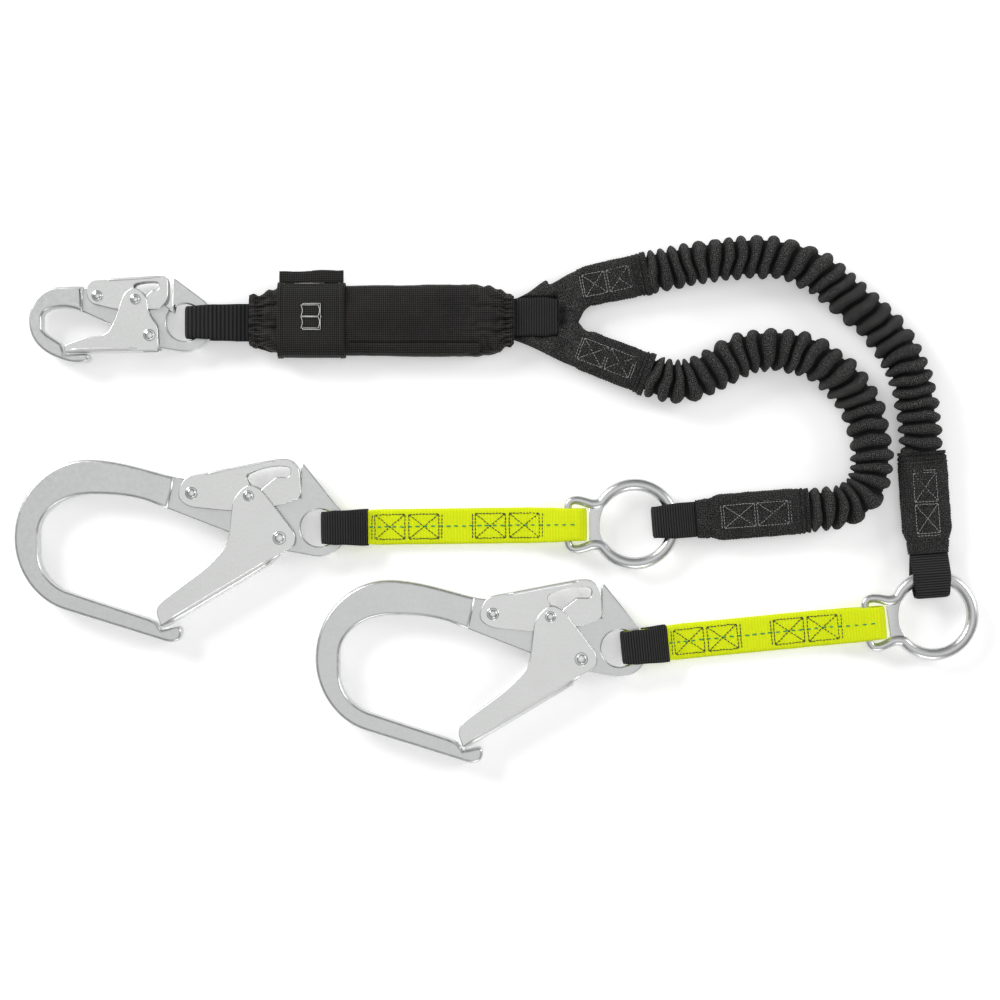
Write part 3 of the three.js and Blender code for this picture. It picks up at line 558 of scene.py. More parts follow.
def elastic_tube(letter):
    """A gathered leg: rolls of cloth that lean and wander a little round a tube."""
    draws, seed = LEG_SEEDS[letter]
    centre, total = spline([(x, y, 0) for x, y in LEG_ROUTES[letter]], 0.62)
    place = Place()
    rng = random.Random(draws)
    size = [rng.uniform(0.8, 1.1) for _ in range(round(total / PUFF) + 8)]
    cols = 64
    verts, uvs, painted_shade, line = [], [], [], []
    rolls, before = 0.0, 0.0
    for i, (p, s) in enumerate(centre):
        a = centre[max(i - 1, 0)][0]
        b = centre[min(i + 1, len(centre) - 1)][0]
        t = (b - a).normalized()
        side = Vector((t.y, -t.x, 0))
        end = min(s, total - s)
        thin = 0.7 + 0.3 * min(1.0, end / 12.0) ** 0.8
        pitch = PUFF + PUFF_GROWS * sin(pi * s / total) ** 2 + 1.2 * ripple(s * 0.03, seed, 2.0)
        rolls += (s - before) / pitch
        before = s
        wild = max(0.0, 1 - (total - s) / 45.0) if letter == "a" else max(0.0, 1 - s / 30.0) * 0.5
        line.append(place((p.x, p.y, TUBE_RISE)))
        for j in range(cols):
            ang = tau * j / cols
            c, z = cos(ang), sin(ang)
            lean = ripple(c * 0.7, z * 0.7, s * 0.035 + seed) * (0.4 + 0.6 * wild)
            lean += c * (0.2 + 0.22 * sin(s * 0.03 + seed))
            roll = floor(rolls + lean)
            hump = max(0.0, sin(pi * unit((rolls + lean - roll - 0.13) / 0.74))) ** 0.5
            big = size[min(len(size) - 1, max(0, roll + 2))]
            # painted shade: dark in the valleys between rolls, full colour on their tops
            painted_shade.append(hump * (0.75 + 0.25 * big))
            rim = p + side * (TUBE_HALF * c)
            lump = 0.9 * ripple(p.x * 0.07, p.y * 0.07, z * 1.6 + c + seed)
            fine = 0.34 * ripple(rim.x * 0.42, rim.y * 0.42, z * 3)
            swell = 0.72 + 0.27 * hump * big
            lat = (TUBE_HALF * swell + lump + fine) * (0.8 + 0.2 * thin)
            tall = (TUBE_TALL * (swell - 0.05 * (1 - hump)) + lump + fine) * thin
            height = off_floor(TUBE_RISE * thin - (1 - thin) * 0.5 + tall * z, 0.25)
            q = p + side * (lat * c)
            verts.append(place((q.x, q.y, height)))
            uvs.append((s, ang * 14))
    batch = Batch()
    batch.add(verts, tube_faces(len(centre), cols), uvs, painted_shade)
    nodes = [f"elastic_tube_{letter}", f"inner_strap_{letter}"]
    o = batch.make(f"stretch_leg_{letter}", "lanyard", KNIT, "elastic_knit", nodes)


for letter in "ab":
    elastic_tube(letter)


# ---------------- flat and gathered cloth
def soft_ring(cols, square, flat):
    """Evenly spaced points round a soft-cornered section, each coordinate from -1 to 1."""
    aspect, dense = 2.6, []
    for i in range(1440):
        c, z = cos(rad(i / 4)), sin(rad(i / 4))
        dense.append((copysign(abs(c) ** square, c) * aspect, 0, copysign(abs(z) ** flat, z)))
    _, total = resample(dense, 1.0, True)
    return [(p.x / aspect, p.z) for p, _ in resample(dense, total / cols, True)[0]]


def slab(rows, place, cols, square, flat, ruffle):
    """A soft flat shape, closed all round. A row is (x, right, left, half height, middle height)."""
    verts, uvs, painted_shade, along, last = [], [], [], 0.0, None
    ring = soft_ring(cols, square, flat)
    for x, right, left, tall, level in rows:
        a, b = Vector((x, right, 0)), Vector((x, left, 0))
        mid, reach = (a + b) / 2, (b - a) / 2
        if last:
            along += (mid - last).length
        last = mid
        for cx, cz in ring:
            out = ruffle(mid.x, cx, cz)
            q = mid + reach * (cx * (1 + out * abs(cx) / max(reach.length, 1)))
            verts.append(place((q.x, q.y, off_floor(level + (tall + out * abs(cz)) * cz, 0.15))))
            uvs.append((along, cx * reach.length + (2 * reach.length if cz < 0 else 0)))
            # painted shade: follows the ruffle, darker in the creases and lighter on the ridges
            painted_shade.append(0.7 + 0.3 * out)
    return Batch().add(verts, tube_faces(len(rows), cols), uvs, painted_shade)


# ---------------- stamped metal
class Outline:
    """A closed outline in millimetres, built from straight, arc and Bezier runs."""

    def __init__(self, *start):
        self.p = list(start)

    def line(self, *points):
        self.p += points
        return self

    def arc(self, at, r, a0, a1):
        n = max(2, int(abs(a1 - a0) / 5))
        for i in range(n + 1):
            x, y = polar(r, a0 + (a1 - a0) * i / n)
            self.p.append((at[0] + x, at[1] + y))
        return self

    def bezier(self, b, c, d):
        a, n = self.p[-1], 20
        for i in range(1, n + 1):
            t = i / n
            w = ((1 - t) ** 3, 3 * t * (1 - t) ** 2, 3 * t * t * (1 - t), t**3)
            self.p.append(tuple(sum(k * q[m] for k, q in zip(w, (a, b, c, d))) for m in (0, 1)))
        return self

    def quad(self, b, c):
        a, n = self.p[-1], 8
        for i in range(1, n + 1):
            t = i / n
            self.p.append(tuple((1 - t) ** 2 * a[m] + 2 * t * (1 - t) * b[m] + t * t * c[m] for m in (0, 1)))
        return self


def rounded(corners):
    """An outline from [x, y, cut-back] corners."""
    o, n = Outline(), len(corners)
    for i, (x, y, back) in enumerate(corners):
        (px, py, _), (nx, ny, _) = corners[i - 1], corners[(i + 1) % n]
        before, after = hypot(px - x, py - y), hypot(nx - x, ny - y)
        a, b = min(back, before * 0.48) / before, min(back, after * 0.48) / after
        o.p.append((x + (px - x) * a, y + (py - y) * a))
        o.quad((x, y), (x + (nx - x) * b, y + (ny - y) * b))
    return o.p


def circle(at, r, n=40):
    angles = [tau * i / n for i in range(n)]
    return [(at[0] + r * cos(a), at[1] + r * sin(a)) for a in angles]


def signed_area(p):
    return sum(a[0] * b[1] - b[0] * a[1] for a, b in zip(p, p[1:] + p[:1])) / 2


def plate(batch, place, outline, holes, low, high, bevel, res=3):
    """A stamped plate with eased edges, as a closed shell."""
    curve = bpy.data.curves.new("outline", "CURVE")
    curve.dimensions = "2D"
    curve.fill_mode = "BOTH"
    curve.extrude = (high - low) / 2 - bevel
    curve.bevel_depth = bevel
    curve.bevel_resolution = res
    curve.offset = -bevel
    for k, points in enumerate([outline, *holes]):
        turned = signed_area(points) < 0
        points = points[::-1] if turned == (k == 0) else points
        run = curve.splines.new("POLY")
        run.points.add(len(points) - 1)
        for q, (x, y) in zip(run.points, points):
            q.co = (x, y, 0, 1)
        run.use_cyclic_u = True
    o = show("outline", curve)
    me = bpy.data.meshes.new_from_object(o.evaluated_get(bpy.context.evaluated_depsgraph_get()))
    bpy.data.objects.remove(o)
    bpy.data.curves.remove(curve)
    bm = bmesh.new()
    bm.from_mesh(me)
    bmesh.ops.remove_doubles(bm, verts=bm.verts, dist=0.002)
    bmesh.ops.dissolve_degenerate(bm, edges=bm.edges, dist=0.001)
    bm.to_mesh(me)
    bm.free()
    middle_z = (low + high) / 2
    verts = [place((v.co.x, v.co.y, v.co.z + middle_z)) for v in me.vertices]
    batch.add(verts, [tuple(p.vertices) for p in me.polygons])
    bpy.data.meshes.remove(me)


def lathe(batch, place, at, profile):
    """A closed turned shape from (radius, height) pairs, top first."""
    sides = 36
    verts = []
    for r, z in profile:
        for j in range(sides):
            a = tau * j / sides
            verts.append(place((at[0] + r * cos(a), at[1] + r * sin(a), z)))
    batch.add(verts, [f[::-1] for f in tube_faces(len(profile), sides)])


def rivet(batch, place, at, shaft, head, under, top):
    """A domed head on a thin flange, the same on both sides of the hook."""
    tall = top - under
    side = []
    for a in range(0, 91, 15):
        r, z = max(0.03, head * 0.7 * sin(rad(a))), 0.36 + 0.64 * cos(rad(a))
        side.append((r, under + tall * z))
    for wide, high in ((0.78, 0.3), (0.93, 0.26), (1, 0.12), (1, 0)):
        side.append((head * wide, under + tall * high))
    side.append((shaft, under))
    lathe(batch, place, at, side + [(r, -z) for r, z in reversed(side)])


def bend(batch, place, ends, top, radius):
    """The rounded back of a folded sheet: a channel's curved edge on both faces."""
    (ax, ay), (bx, by) = ends
    span = hypot(bx - ax, by - ay)
    ux, uy = (bx - ax) / span, (by - ay) / span
    profile = []
    for a in range(0, 181, 15):
        x, z = polar(radius, a)
        profile.append((x, top + 0.25 - radius + z))
    profile += [(-x, -z) for x, z in profile]
    verts, rows = [], 9
    for i in range(rows):
        f = i / (rows - 1)
        thin = min(1.0, 0.35 + 5 * min(f, 1 - f))
        for x, z in profile:
            side = x * thin
            height = copysign(abs(z) - (1 - thin) * 0.5, z)
            verts.append(place((ax + ux * span * f - uy * side, ay + uy * span * f + ux * side, height)))
    batch.add(verts, tube_faces(rows, len(profile)))


def metal_piece(batch, name, body, nodes, material=STEEL):
    """A piece of stamped metal: its flat faces stay flat, and its edges are smooth."""
    me = batch.make(name, body, material, "zinc_steel", nodes).data
    me.polygons.foreach_set("use_smooth", [abs(p.normal.z) < 0.9995 for p in me.polygons])


def turned(x, y, pivot, angle):
    """A point turned about a pivot."""
    c, s = cos(angle), sin(angle)
    px, py = pivot
    return px + (x - px) * c - (y - py) * s, py + (x - px) * s + (y - py) * c


def slot_outline(spec, arc_r, arc_half, a0, a1):
    """The lever's window: what the lock pin sweeps, joined to the curved window above it."""
    gx, gy = spec["gate_pivot"]
    discs, cuts = [], 30
    for i in range(cuts + 1):
        t = i / cuts
        x, y = turned(*spec["lock_pin"], spec["gate_pivot"], rad(-spec["opens"] * t))
        x, y = turned(x, y, spec["lever_pivot"], rad(spec["lever"] * t))
        discs.append((hypot(x - gx, y - gy), atan2(y - gy, x - gx), spec["pin_shaft"] + 0.5))
        discs.append((arc_r, rad(a0 + (a1 - a0) * t), arc_half))
    outer, inner = [], []
    first, last, rays = 66, 140, 120
    for k in range(rays + 1):
        a = rad(first + (last - first) * k / rays)
        hits = [(d, f, r) for d, f, r in discs if abs(d * sin(a - f)) < r and abs(a - f) < 0.5]
        if hits:
            reach = [(d * cos(a - f), sqrt(r * r - (d * sin(a - f)) ** 2)) for d, f, r in hits]
            far, near = max(m + h for m, h in reach), min(m - h for m, h in reach)
            outer.append((gx + far * cos(a), gy + far * sin(a)))
            inner.append((gx + near * cos(a), gy + near * sin(a)))
    return outer + inner[::-1]


REBAR = {
    "gate_pivot": REBAR_PIVOT, "lever_pivot": (-95, 26), "lock_pin": (-52, 24), "shaft": 3, "pin_shaft": 2.6,
    "opens": 38, "lever": 10, "bend": 3.2,
}
REBAR["plate"] = (
    Outline((-13.5, 46), (-11.5, 48)).arc((0, 0), 21.5, 52, -100.2).arc(REBAR_PIVOT, 9, 259.8, 250.4)
    .line((-69, -2.8), (-117, 15.8), (-114, 39), (-102, 37), (-90, 36.2)).quad((-80, 35.6), (-74, 31.2))
    .line((-58, 19)).arc(REBAR_PIVOT, 34, 138, 62.9).p
)
REBAR["bow"] = (
    Outline((-108, 38.2)).bezier((-125, 42), (-150, 51.2), (-172.3, 51.2))
    .bezier((-203, 51.2), (-227.8, 25), (-227.8, -7.6)).bezier((-227.8, -32), (-212, -54.6), (-190, -61.5))
    .line((-116, -84.6)).bezier((-107, -87.4), (-102.3, -84), (-102.3, -78))
    .quad((-102.3, -74), (-105.5, -73.8)).line((-117.5, -76.6), (-121, -70.6), (-127, -67.8), (-187, -48))
    .bezier((-201, -43.2), (-209.5, -31), (-209.5, -18)).line((-209.5, -5))
    .bezier((-209.5, 12), (-192, 25), (-169.3, 25)).bezier((-152, 25), (-140, 23.8), (-127, 19.5))
    .line((-113, 14.2)).p
)
REBAR["gate_plate"] = rounded([
    (-52.6, 33.6, 7), (-63.8, 22, 7), (-67.6, -13, 9), (-84.2, -30, 9), (-118, -55, 7), (-121.2, -62.5, 4),
    (-117.3, -73.0, 1), (-24.6, -17.1, 4), (-17.5, -13, 3), (-17, -4.5, 5), (-42.5, 29, 7),
])
REBAR["gate_fold"] = rounded([
    (-120.4, -62, 2), (-112, -60, 1), (-106.6, -67.6, 1), (-35, -24.4, 1), (-34.7, -26.8, 1),
    (-115.4, -75, 1),
])
REBAR["gate_bend"] = [(-117.6, -72.6), (-30.2, -20.2)]
REBAR["lever_bend"] = [(-86.0, 39.9), (-29.5, 50.6)]
REBAR["lever_plate"] = rounded([
    (-104.4, 30, 6), (-99, 38.6, 5), (-29.5, 51.9, 4), (-20.5, 51.4, 5), (-14.4, 44, 4), (-12.9, 22.6, 4),
    (-33, 15.6, 6), (-66.3, 12.6, 5), (-97, 15.6, 6), (-105, 21.5, 6),
])
REBAR["lever_fold"] = rounded([
    (-84.6, 39.3, 0.5), (-84.8, 41, 0.5), (-29.5, 51.7, 2), (-22, 51.3, 1), (-22, 49.5, 0.5),
    (-29.5, 49.8, 1),
])
REBAR["window"] = slot_outline(REBAR, 49.4, 4, 115, 85)
SNAP = {
    "gate_pivot": SNAP_PIVOT, "lever_pivot": (-64.8, 19.5), "lock_pin": (-35.9, 16.7), "shaft": 2.5,
    "pin_shaft": 2.4, "opens": 20, "lever": 10, "bend": 2.0,
}
SNAP["plate"] = (
    Outline((-9.3, 31.5), (-7.5, 33)).arc((0, 0), 22, 48, -96.5).arc(SNAP_PIVOT, 8, 263.5, 248)
    .line((-53, -2.6), (-79, 9.2), (-79, 25.5), (-62, 27.2)).quad((-55, 26.6), (-51, 21))
    .line((-44.5, 11)).arc(SNAP_PIVOT, 25, 135, 50).p
)
SNAP["bow"] = (
    Outline((-76, 26.8)).bezier((-82, 27), (-88, 26.8), (-95.3, 26.3))
    .bezier((-108, 25.5), (-116.4, 14), (-116.4, 1.5)).bezier((-116.4, -16), (-104, -24.5), (-89, -29))
    .bezier((-83, -31), (-78, -30.6), (-74.5, -29.8)).quad((-70.5, -28.6), (-71.2, -25.4))
    .quad((-72, -23.6), (-74, -23.7)).line((-89.6, -24.3), (-91.6, -17))
    .bezier((-97, -12), (-106.4, -9), (-106.4, -4)).line((-106.4, 3))
    .bezier((-106.4, 8.4), (-100, 11.2), (-89, 11)).quad((-83, 10.8), (-76, 7.6)).p
)
SNAP["gate_plate"] = rounded([
    (-36.6, 26.6, 6), (-44.6, 21.6, 5), (-51, 2, 4), (-57, -9.4, 5), (-74.5, -12, 5), (-88.9, -17.4, 2),
    (-88.6, -22.9, 1), (-18.4, -21.6, 4), (-19.4, -3, 3), (-26, 6, 5), (-28, 20, 6),
])
SNAP["gate_bend"] = [(-86.4, -20.9), (-32, -19.8)]
SNAP["lever_bend"] = [(-60, 31.0), (-16.0, 33.6)]
SNAP["gate_fold"] = rounded([(-88.4, -20.9, 0.5), (-32, -20, 0.5), (-32, -21.7, 0.5), (-88.3, -22.7, 0.5)])
SNAP["lever_plate"] = rounded([
    (-73.6, 24, 5), (-71, 31.2, 5), (-14, 34.7, 3), (-12, 30.5, 3), (-12, 16.5, 4), (-18.5, 9.4, 4),
    (-50.1, 9, 6), (-71, 14.2, 5),
])
SNAP["lever_fold"] = rounded([(-60, 30, 0.5), (-60, 31.8, 0.5), (-15.5, 34.4, 0.6), (-14.6, 32.5, 0.5)])
SNAP["window"] = slot_outline(SNAP, 37, 3, 105, 84)


def folded(prefix, part, place, spec, holes, sheet, bevel, fold_half, bend_top, bend_radius):
    """A gate or a lever: two equal plates joined by a folded back."""
    batch = Batch()
    low, high = sheet
    for bottom, top in ((low, high), (-high, -low)):
        plate(batch, place, spec[f"{part}_plate"], holes, bottom, top, bevel)
    plate(batch, place, spec[f"{part}_fold"], [], -fold_half, fold_half, 0.4, 2)
    bend(batch, place, spec[f"{part}_bend"], bend_top, bend_radius)
    metal_piece(batch, f"{prefix}_{part}_plates", f"{prefix}_{part}", [f"{prefix}_{part}"])


def hook(prefix, spec, place, bow_bevel):
    """A whole hook: forging, gate, locking lever, rivet heads, lock pin and springs."""
    shaft, pin_shaft = spec["shaft"], spec["pin_shaft"]
    gate_hole, lever_hole = [circle(spec[k], shaft + 0.2, 24) for k in ("gate_pivot", "lever_pivot")]
    forging = Batch()
    plate(forging, place, spec["plate"], [circle((0, 0), 14), gate_hole, lever_hole], -3.5, 3.5, 1.1)
    plate(forging, place, spec["bow"], [], -6, 6, bow_bevel, 5)
    metal_piece(forging, f"{prefix}_forging", prefix, [f"{prefix}_body"], FORGED)
    pin_hole = circle(spec["lock_pin"], pin_shaft + 0.15, 24)
    folded(prefix, "gate", place, spec, [gate_hole, pin_hole], (6.3, 8.3), 0.75, 7, 8.3, spec["bend"])
    folded(prefix, "lever", place, spec, [lever_hole, spec["window"]], (3.9, 5.9), 0.7, 4.6, 5.95, 1.5)
    rivets, pin = Batch(), Batch()
    rivet(rivets, place, spec["gate_pivot"], shaft, shaft + 2, 8.6, 9.9)
    rivet(rivets, place, spec["lever_pivot"], shaft, shaft + 1.6, 6.2, 7.8)
    nodes = [f"{prefix}_gate_rivet", f"{prefix}_lever_rivet"]
    rivets.make(f"{prefix}_rivet_heads", prefix, RIVET, "bright_rivet", nodes, angle=50)
    rivet(pin, place, spec["lock_pin"], pin_shaft, pin_shaft + 1.5, 8.6, 9.9)
    pin.make(f"{prefix}_pin_heads", f"{prefix}_gate", RIVET, "bright_rivet", [f"{prefix}_lock_pin"], angle=50)
    paint(f"{prefix}_gate_spring", SPRING)
    paint(f"{prefix}_lever_spring", SPRING)


hook("snap", SNAP, Place(*SNAP_EYE), 2.3)
for letter in "ab":
    hook(f"hook_{letter}", REBAR, Place(*eye_of(letter)), 2.6)


# ---------------- tie-back rings
def rod(batch, points, radius, place):
    """A closed forged bar of changing thickness along a flat path."""
    squash, sides = 0.94, 20
    n, verts, uvs = len(points), [], []
    for i, (p, s) in enumerate(points):
        t = (points[(i + 1) % n][0] - points[i - 1][0]).normalized()
        side = Vector((t.y, -t.x, 0))
        r = radius(p)
        for j in range(sides):
            a = tau * j / sides
            q = p + side * (r * cos(a))
            verts.append(place((q.x, q.y, r * squash * sin(a))))
            uvs.append((s, r * a))
    batch.add(verts, tube_faces(n, sides, True), uvs)


def tie_ring(letter):
    """A forged ring with a straight bar for its loop, and a thin web between the two."""
    place = Place(*RINGS[letter])
    half = [(-25.2, 15.6), (-31.5, 14.8), (-37.5, 17.4), (-44, 18.9), (-49.0, 17.4), (-50.4, 12), (-50.4, 0)]
    top = [polar(29.6, a) for a in range(0, 143, 6)] + half
    path = top + [(x, -y) for x, y in reversed(top[1:-1])]
    dense, _ = resample(smooth_loop([(x, y, 0) for x, y in path]), 1.2, True)
    batch = Batch()
    rod(batch, dense, lambda p: between([(-49.0, 3.0), (-40, 3.4), (-27, 4.2), (-12, 4.6)], p.x), place)
    web = [(-34.0, -15.4), (-28.5, -17.2)]
    web += [polar(26.2, a) for a in range(214, 145, -4)]
    web += [(-28.5, 17.2), (-34.0, 15.4)]
    plate(batch, place, web, [], -1.7, 1.7, 0.5)
    batch.make(f"tie_ring_{letter}", f"ring_{letter}", ALLOY, "ring_alloy", [f"ring_{letter}"], angle=40)


for letter in "ab":
    tie_ring(letter)


# ---------------- straps and loops
# A loop is (near, far, inner radius, place of the join, height of the join).
STRAP_Z = -5.3
EYE_LOOP = (10.2, 20.6, 5.6, 46.0, STRAP_Z)
BAR_LOOP = (REACH + 5.6, REACH - 1.0, 5.6, REACH - 30.0, STRAP_Z)


def top_face(run):
    """The height of a strap's upper face at x, from the run of its upper ply."""
    run = sorted(run)

    def at(x):
        for (a, za), (b, zb) in zip(run, run[1:]):
            if x <= b:
                return (za if b - a < 1e-6 else za + (zb - za) * unit((x - a) / (b - a))) + WEB_HALF
        return run[-1][1] + WEB_HALF

    return at


def strap_sewing(letter, place, body):
    """Dark boxes at both ends of a hi-vis strap, and the green tracer along it."""
    rng = random.Random(5 if letter == "a" else 7)
    start, end = loop_halves(*EYE_LOOP)[1], loop_halves(*BAR_LOOP)[1]
    face = top_face(start[QUARTER:] + [p for p in end[::-1] if p[0] < REACH + 1])
    dark, green = Batch(), Batch()
    h = 9.2
    for x0, x1 in ((41.5, 89.5), (117.0, 165.0)):
        for a, b in ((x0, x0 + 22.5), (x0 + 25.5, x1)):
            for run in box_cross(a, b, h):
                stitch_run(dark, run, place, face, DARK_STITCH, rng)
        for a in (x0 - 2.2, x1 + 2.2):
            stitch_run(dark, [(a, -h), (a + 0.3, h)], place, face, DARK_STITCH, rng)
    stitch_run(green, [(24.0, 0.0), (REACH + 5.0, 0.2)], place, face, TRACER_STITCH, rng)
    dark.make(f"strap_stitch_{letter}", body, DARK_THREAD, "black_webbing")
    green.make(f"strap_tracer_{letter}", body, GREEN_THREAD, "hi_vis_webbing")


def wear_cover(letter, place, body):
    """The black sleeve round a strap's eye loop, cut square."""
    cut_x = 36.5
    low, top = loop_halves(*EYE_LOOP, out=WEB_HALF + 1.75)
    for run in (top, low):
        (ax, az), (bx, bz) = run[-2], run[-1]
        run[-1] = (cut_x, az + (bz - az) * (cut_x - ax) / (bx - ax))
    wide = [(2, 24.0), (14, 25.6), (36, 27.6)]
    sleeve = ribbon(low[::-1] + top[1:], wide, 1.25, place, 0.38, RIB, 0.24)
    sleeve.make(f"wear_cover_{letter}", body, BLACK_WEB, "black_webbing", [f"wear_sleeve_{letter}"])


def hi_vis_strap(letter):
    place = Place(*eye_of(letter), STRAP_TURN[letter])
    body = f"strap_{letter}"
    wide = [(4, 23.0), (30, 24.0), (44, 26.6), (150, 26.8), (172, 26.2), (190, 24.5)]
    strap = ribbon(strap_line(EYE_LOOP, BAR_LOOP), wide, WEB_THICK, place, 0.2, RIB_HI_VIS, 0.5, True)
    strap.make(f"hi_vis_strap_{letter}", body, HI_VIS, "hi_vis_webbing", [body])
    strap_sewing(letter, place, body)
    wear_cover(letter, place, body)


for letter in "ab":
    hi_vis_strap(letter)


def black_loop(name, node, place, loop, tail, wide, pitch=RIB, rib=0.32, material=BLACK_WEB):
    strap = ribbon(strap_line(loop, tail=tail), wide, WEB_THICK, place, rib, pitch, 0.24)
    strap.make(name, "lanyard", material, "black_webbing", [node])


black_loop(
    "snap_loop", "front_loop", Place(*SNAP_EYE), (7.4, 20.6, 5.6, 46.0, 0.0), 86.0,
    [(4, 24.0), (24, 26.5), (50, 28.2)], RIB_WIDE, 0.4, FRONT_WEB,
)
black_loop(
    "yoke_loop", "rear_loop", Place(0, LOOP_Y), (40.8, 14.0, 3.0, -2.0, 0.0), -28.0,
    [(-30, 25.0), (8, 26.5), (16, 28.4), (34, 28.8), (42, 26.6)],
)
# A leg's far end: turn, length and half width of its sleeve, and width of its webbing.
FAR = {"a": (4.5, 82.0, 17.2, 26.5), "b": (94.1, 74.0, 18.4, 28.5)}
for letter, (turn, length, half, wide) in FAR.items():
    black_loop(
        f"ring_loop_{letter}", f"end_loop_{letter}", Place(*RINGS[letter][:2], turn),
        (19.8, 30.4, 5.0, 46.5, 0.0), 47.0 + length - 1.0, [(16, wide - 3.0), (30, wide), (60, wide)],
    )


# ---------------- stitched sleeves at the ends of the legs
def end_sleeve(name, node, place, x0, x1, half, tall, gathers, seed):
    """A flat knitted sleeve along X. half and tall are tables; a gather is (place, span, depth)."""

    def ruffle(x, cx, _cz):
        n = ripple(x * 0.11, cx * 2.1, seed) * 0.55
        n += ripple(x * 0.4, cx * 5.0, seed + 4) * 0.22
        for at, span, deep in gathers:
            d = (x - at) / span
            n -= deep * exp(-d * d * 2.0)
        return n + 0.2 * sin(x * pi / 1.1 + 0.6 * sin(cx * 5))

    rows = []
    for x in steps(x0, x1, 0.7):
        h = between(half, x) + 0.22 * abs(sin(pi * x / 2.0))
        rows.append((x, -h, h, between(tall, x), 0.0))
    slab(rows, place, 52, 0.5, 0.62, ruffle).make(name, "lanyard", KNIT, "elastic_knit", [node])


def stitched_box(name, place, x0, x1, half, seed):
    """Two sewn boxes side by side, with a bar past each end."""
    rng = random.Random(seed)
    batch = Batch()
    z, mid = 5.2, (x0 + x1) / 2
    for a, b in ((x0, mid - 1.0), (mid + 1.0, x1)):
        for run in box_cross(a, b, half):
            stitch_run(batch, run, place, z, WHITE_STITCH, rng)
    for a in (x0 - 1.8, x1 + 1.8):
        stitch_run(batch, [(a, -half), (a, half)], place, z, WHITE_STITCH, rng)
    batch.make(name, "lanyard", WHITE_THREAD, "white_print")


# A leg's near end: place, turn and length of its sleeve, and seeds of its cloth and its stitches.
NEAR = {"a": ((62.0, 112.8), -21.0, 51.0, 3.0, 31), "b": ((64.0, 160.1), 12.0, 46.0, 8.0, 37)}
for letter, (at, turn, length, seed, draws) in NEAR.items():
    spot = Place(*at, turn)
    end_sleeve(
        f"near_cuff_{letter}", f"near_sleeve_{letter}", spot, -4.0, length + 2.2,
        [(-4, 13.6), (4, 15.2), (length - 8, 15.6), (length, 16.4)],
        [(-4, 4.0), (6, 5.2), (length - 8, 5.4), (length, 7.2)],
        [(length - 2.6, 1.1, 1.0), (length - 5.6, 1.0, 0.8), (length - 8.4, 0.9, 0.55)], seed,
    )
    stitched_box(f"near_stitch_{letter}", spot, -1.5, length - 12.0, 8.2, draws)
# The same seeds for the far ends, and where their stitches start.
FAR_SEEDS = {"a": (15.0, 41, 20.0), "b": (21.0, 43, 15.0)}
for letter, (turn, length, half, wide) in FAR.items():
    seed, draws, sewn_from = FAR_SEEDS[letter]
    spot = Place(*RINGS[letter][:2], turn)
    x0, x1 = 46.6, 49.0 + length
    end_sleeve(
        f"far_cuff_{letter}", f"far_sleeve_{letter}", spot, x0, x1,
        [(x0, wide / 2 + 0.9), (x0 + 9, wide / 2 + 1.6), (x0 + 18, half), (x1 - 6, half), (x1, half - 0.6)],
        [(x0, 3.6), (x0 + 12, 4.8), (x1 - 8, 5.4), (x1, 7.0)],
        [(x1 - 3.0, 1.2, 1.1), (x1 - 6.5, 1.1, 0.8), (x1 - 10.0, 1.0, 0.45), (x0 + 9.5, 1.0, 0.5)], seed,
    )
    stitched_box(f"far_stitch_{letter}", spot, x0 + sewn_from, x1 - 16.0, 8.6, draws)


# ---------------- yoke
YOKE_ARMS = {
    "b": (
        [(9.5, 150.0), (21, 155.5), (34, 164.6), (37.5, 161.8), (50.3, 168.8), (60, 173.2)],
        [(9.5, 135.4), (26, 135.4), (44, 134.4), (56.5, 131.8), (60.6, 136.8), (63.6, 142.2), (70.5, 147.6)],
    ),
    "a": (
        [(9.5, 138.8), (26, 138.6), (44, 137.4), (55.5, 135.8), (60.2, 131.4), (63.4, 127.8), (68.0, 125.4)],
        [(9.5, 120.2), (24.5, 114.4), (44.5, 104.6), (52, 101.4), (57, 99.4), (60, 98.2)],
    ),
}


def yoke_height(x, y):
    """Half the cloth's height: thin where the pack's rear loop presses on it."""
    inside = max(0.0, 1 - max(0.0, abs(y - LOOP_Y) - 14.0) / 2.5)
    under = inside * (1.0 if x < 42.5 else max(0.0, 1 - (x - 42.5) / 3.0))
    return between([(9, 2.6), (24, 4.6), (46, 5.4), (64, 4.6)], x) * (1 - under) + 1.9 * under


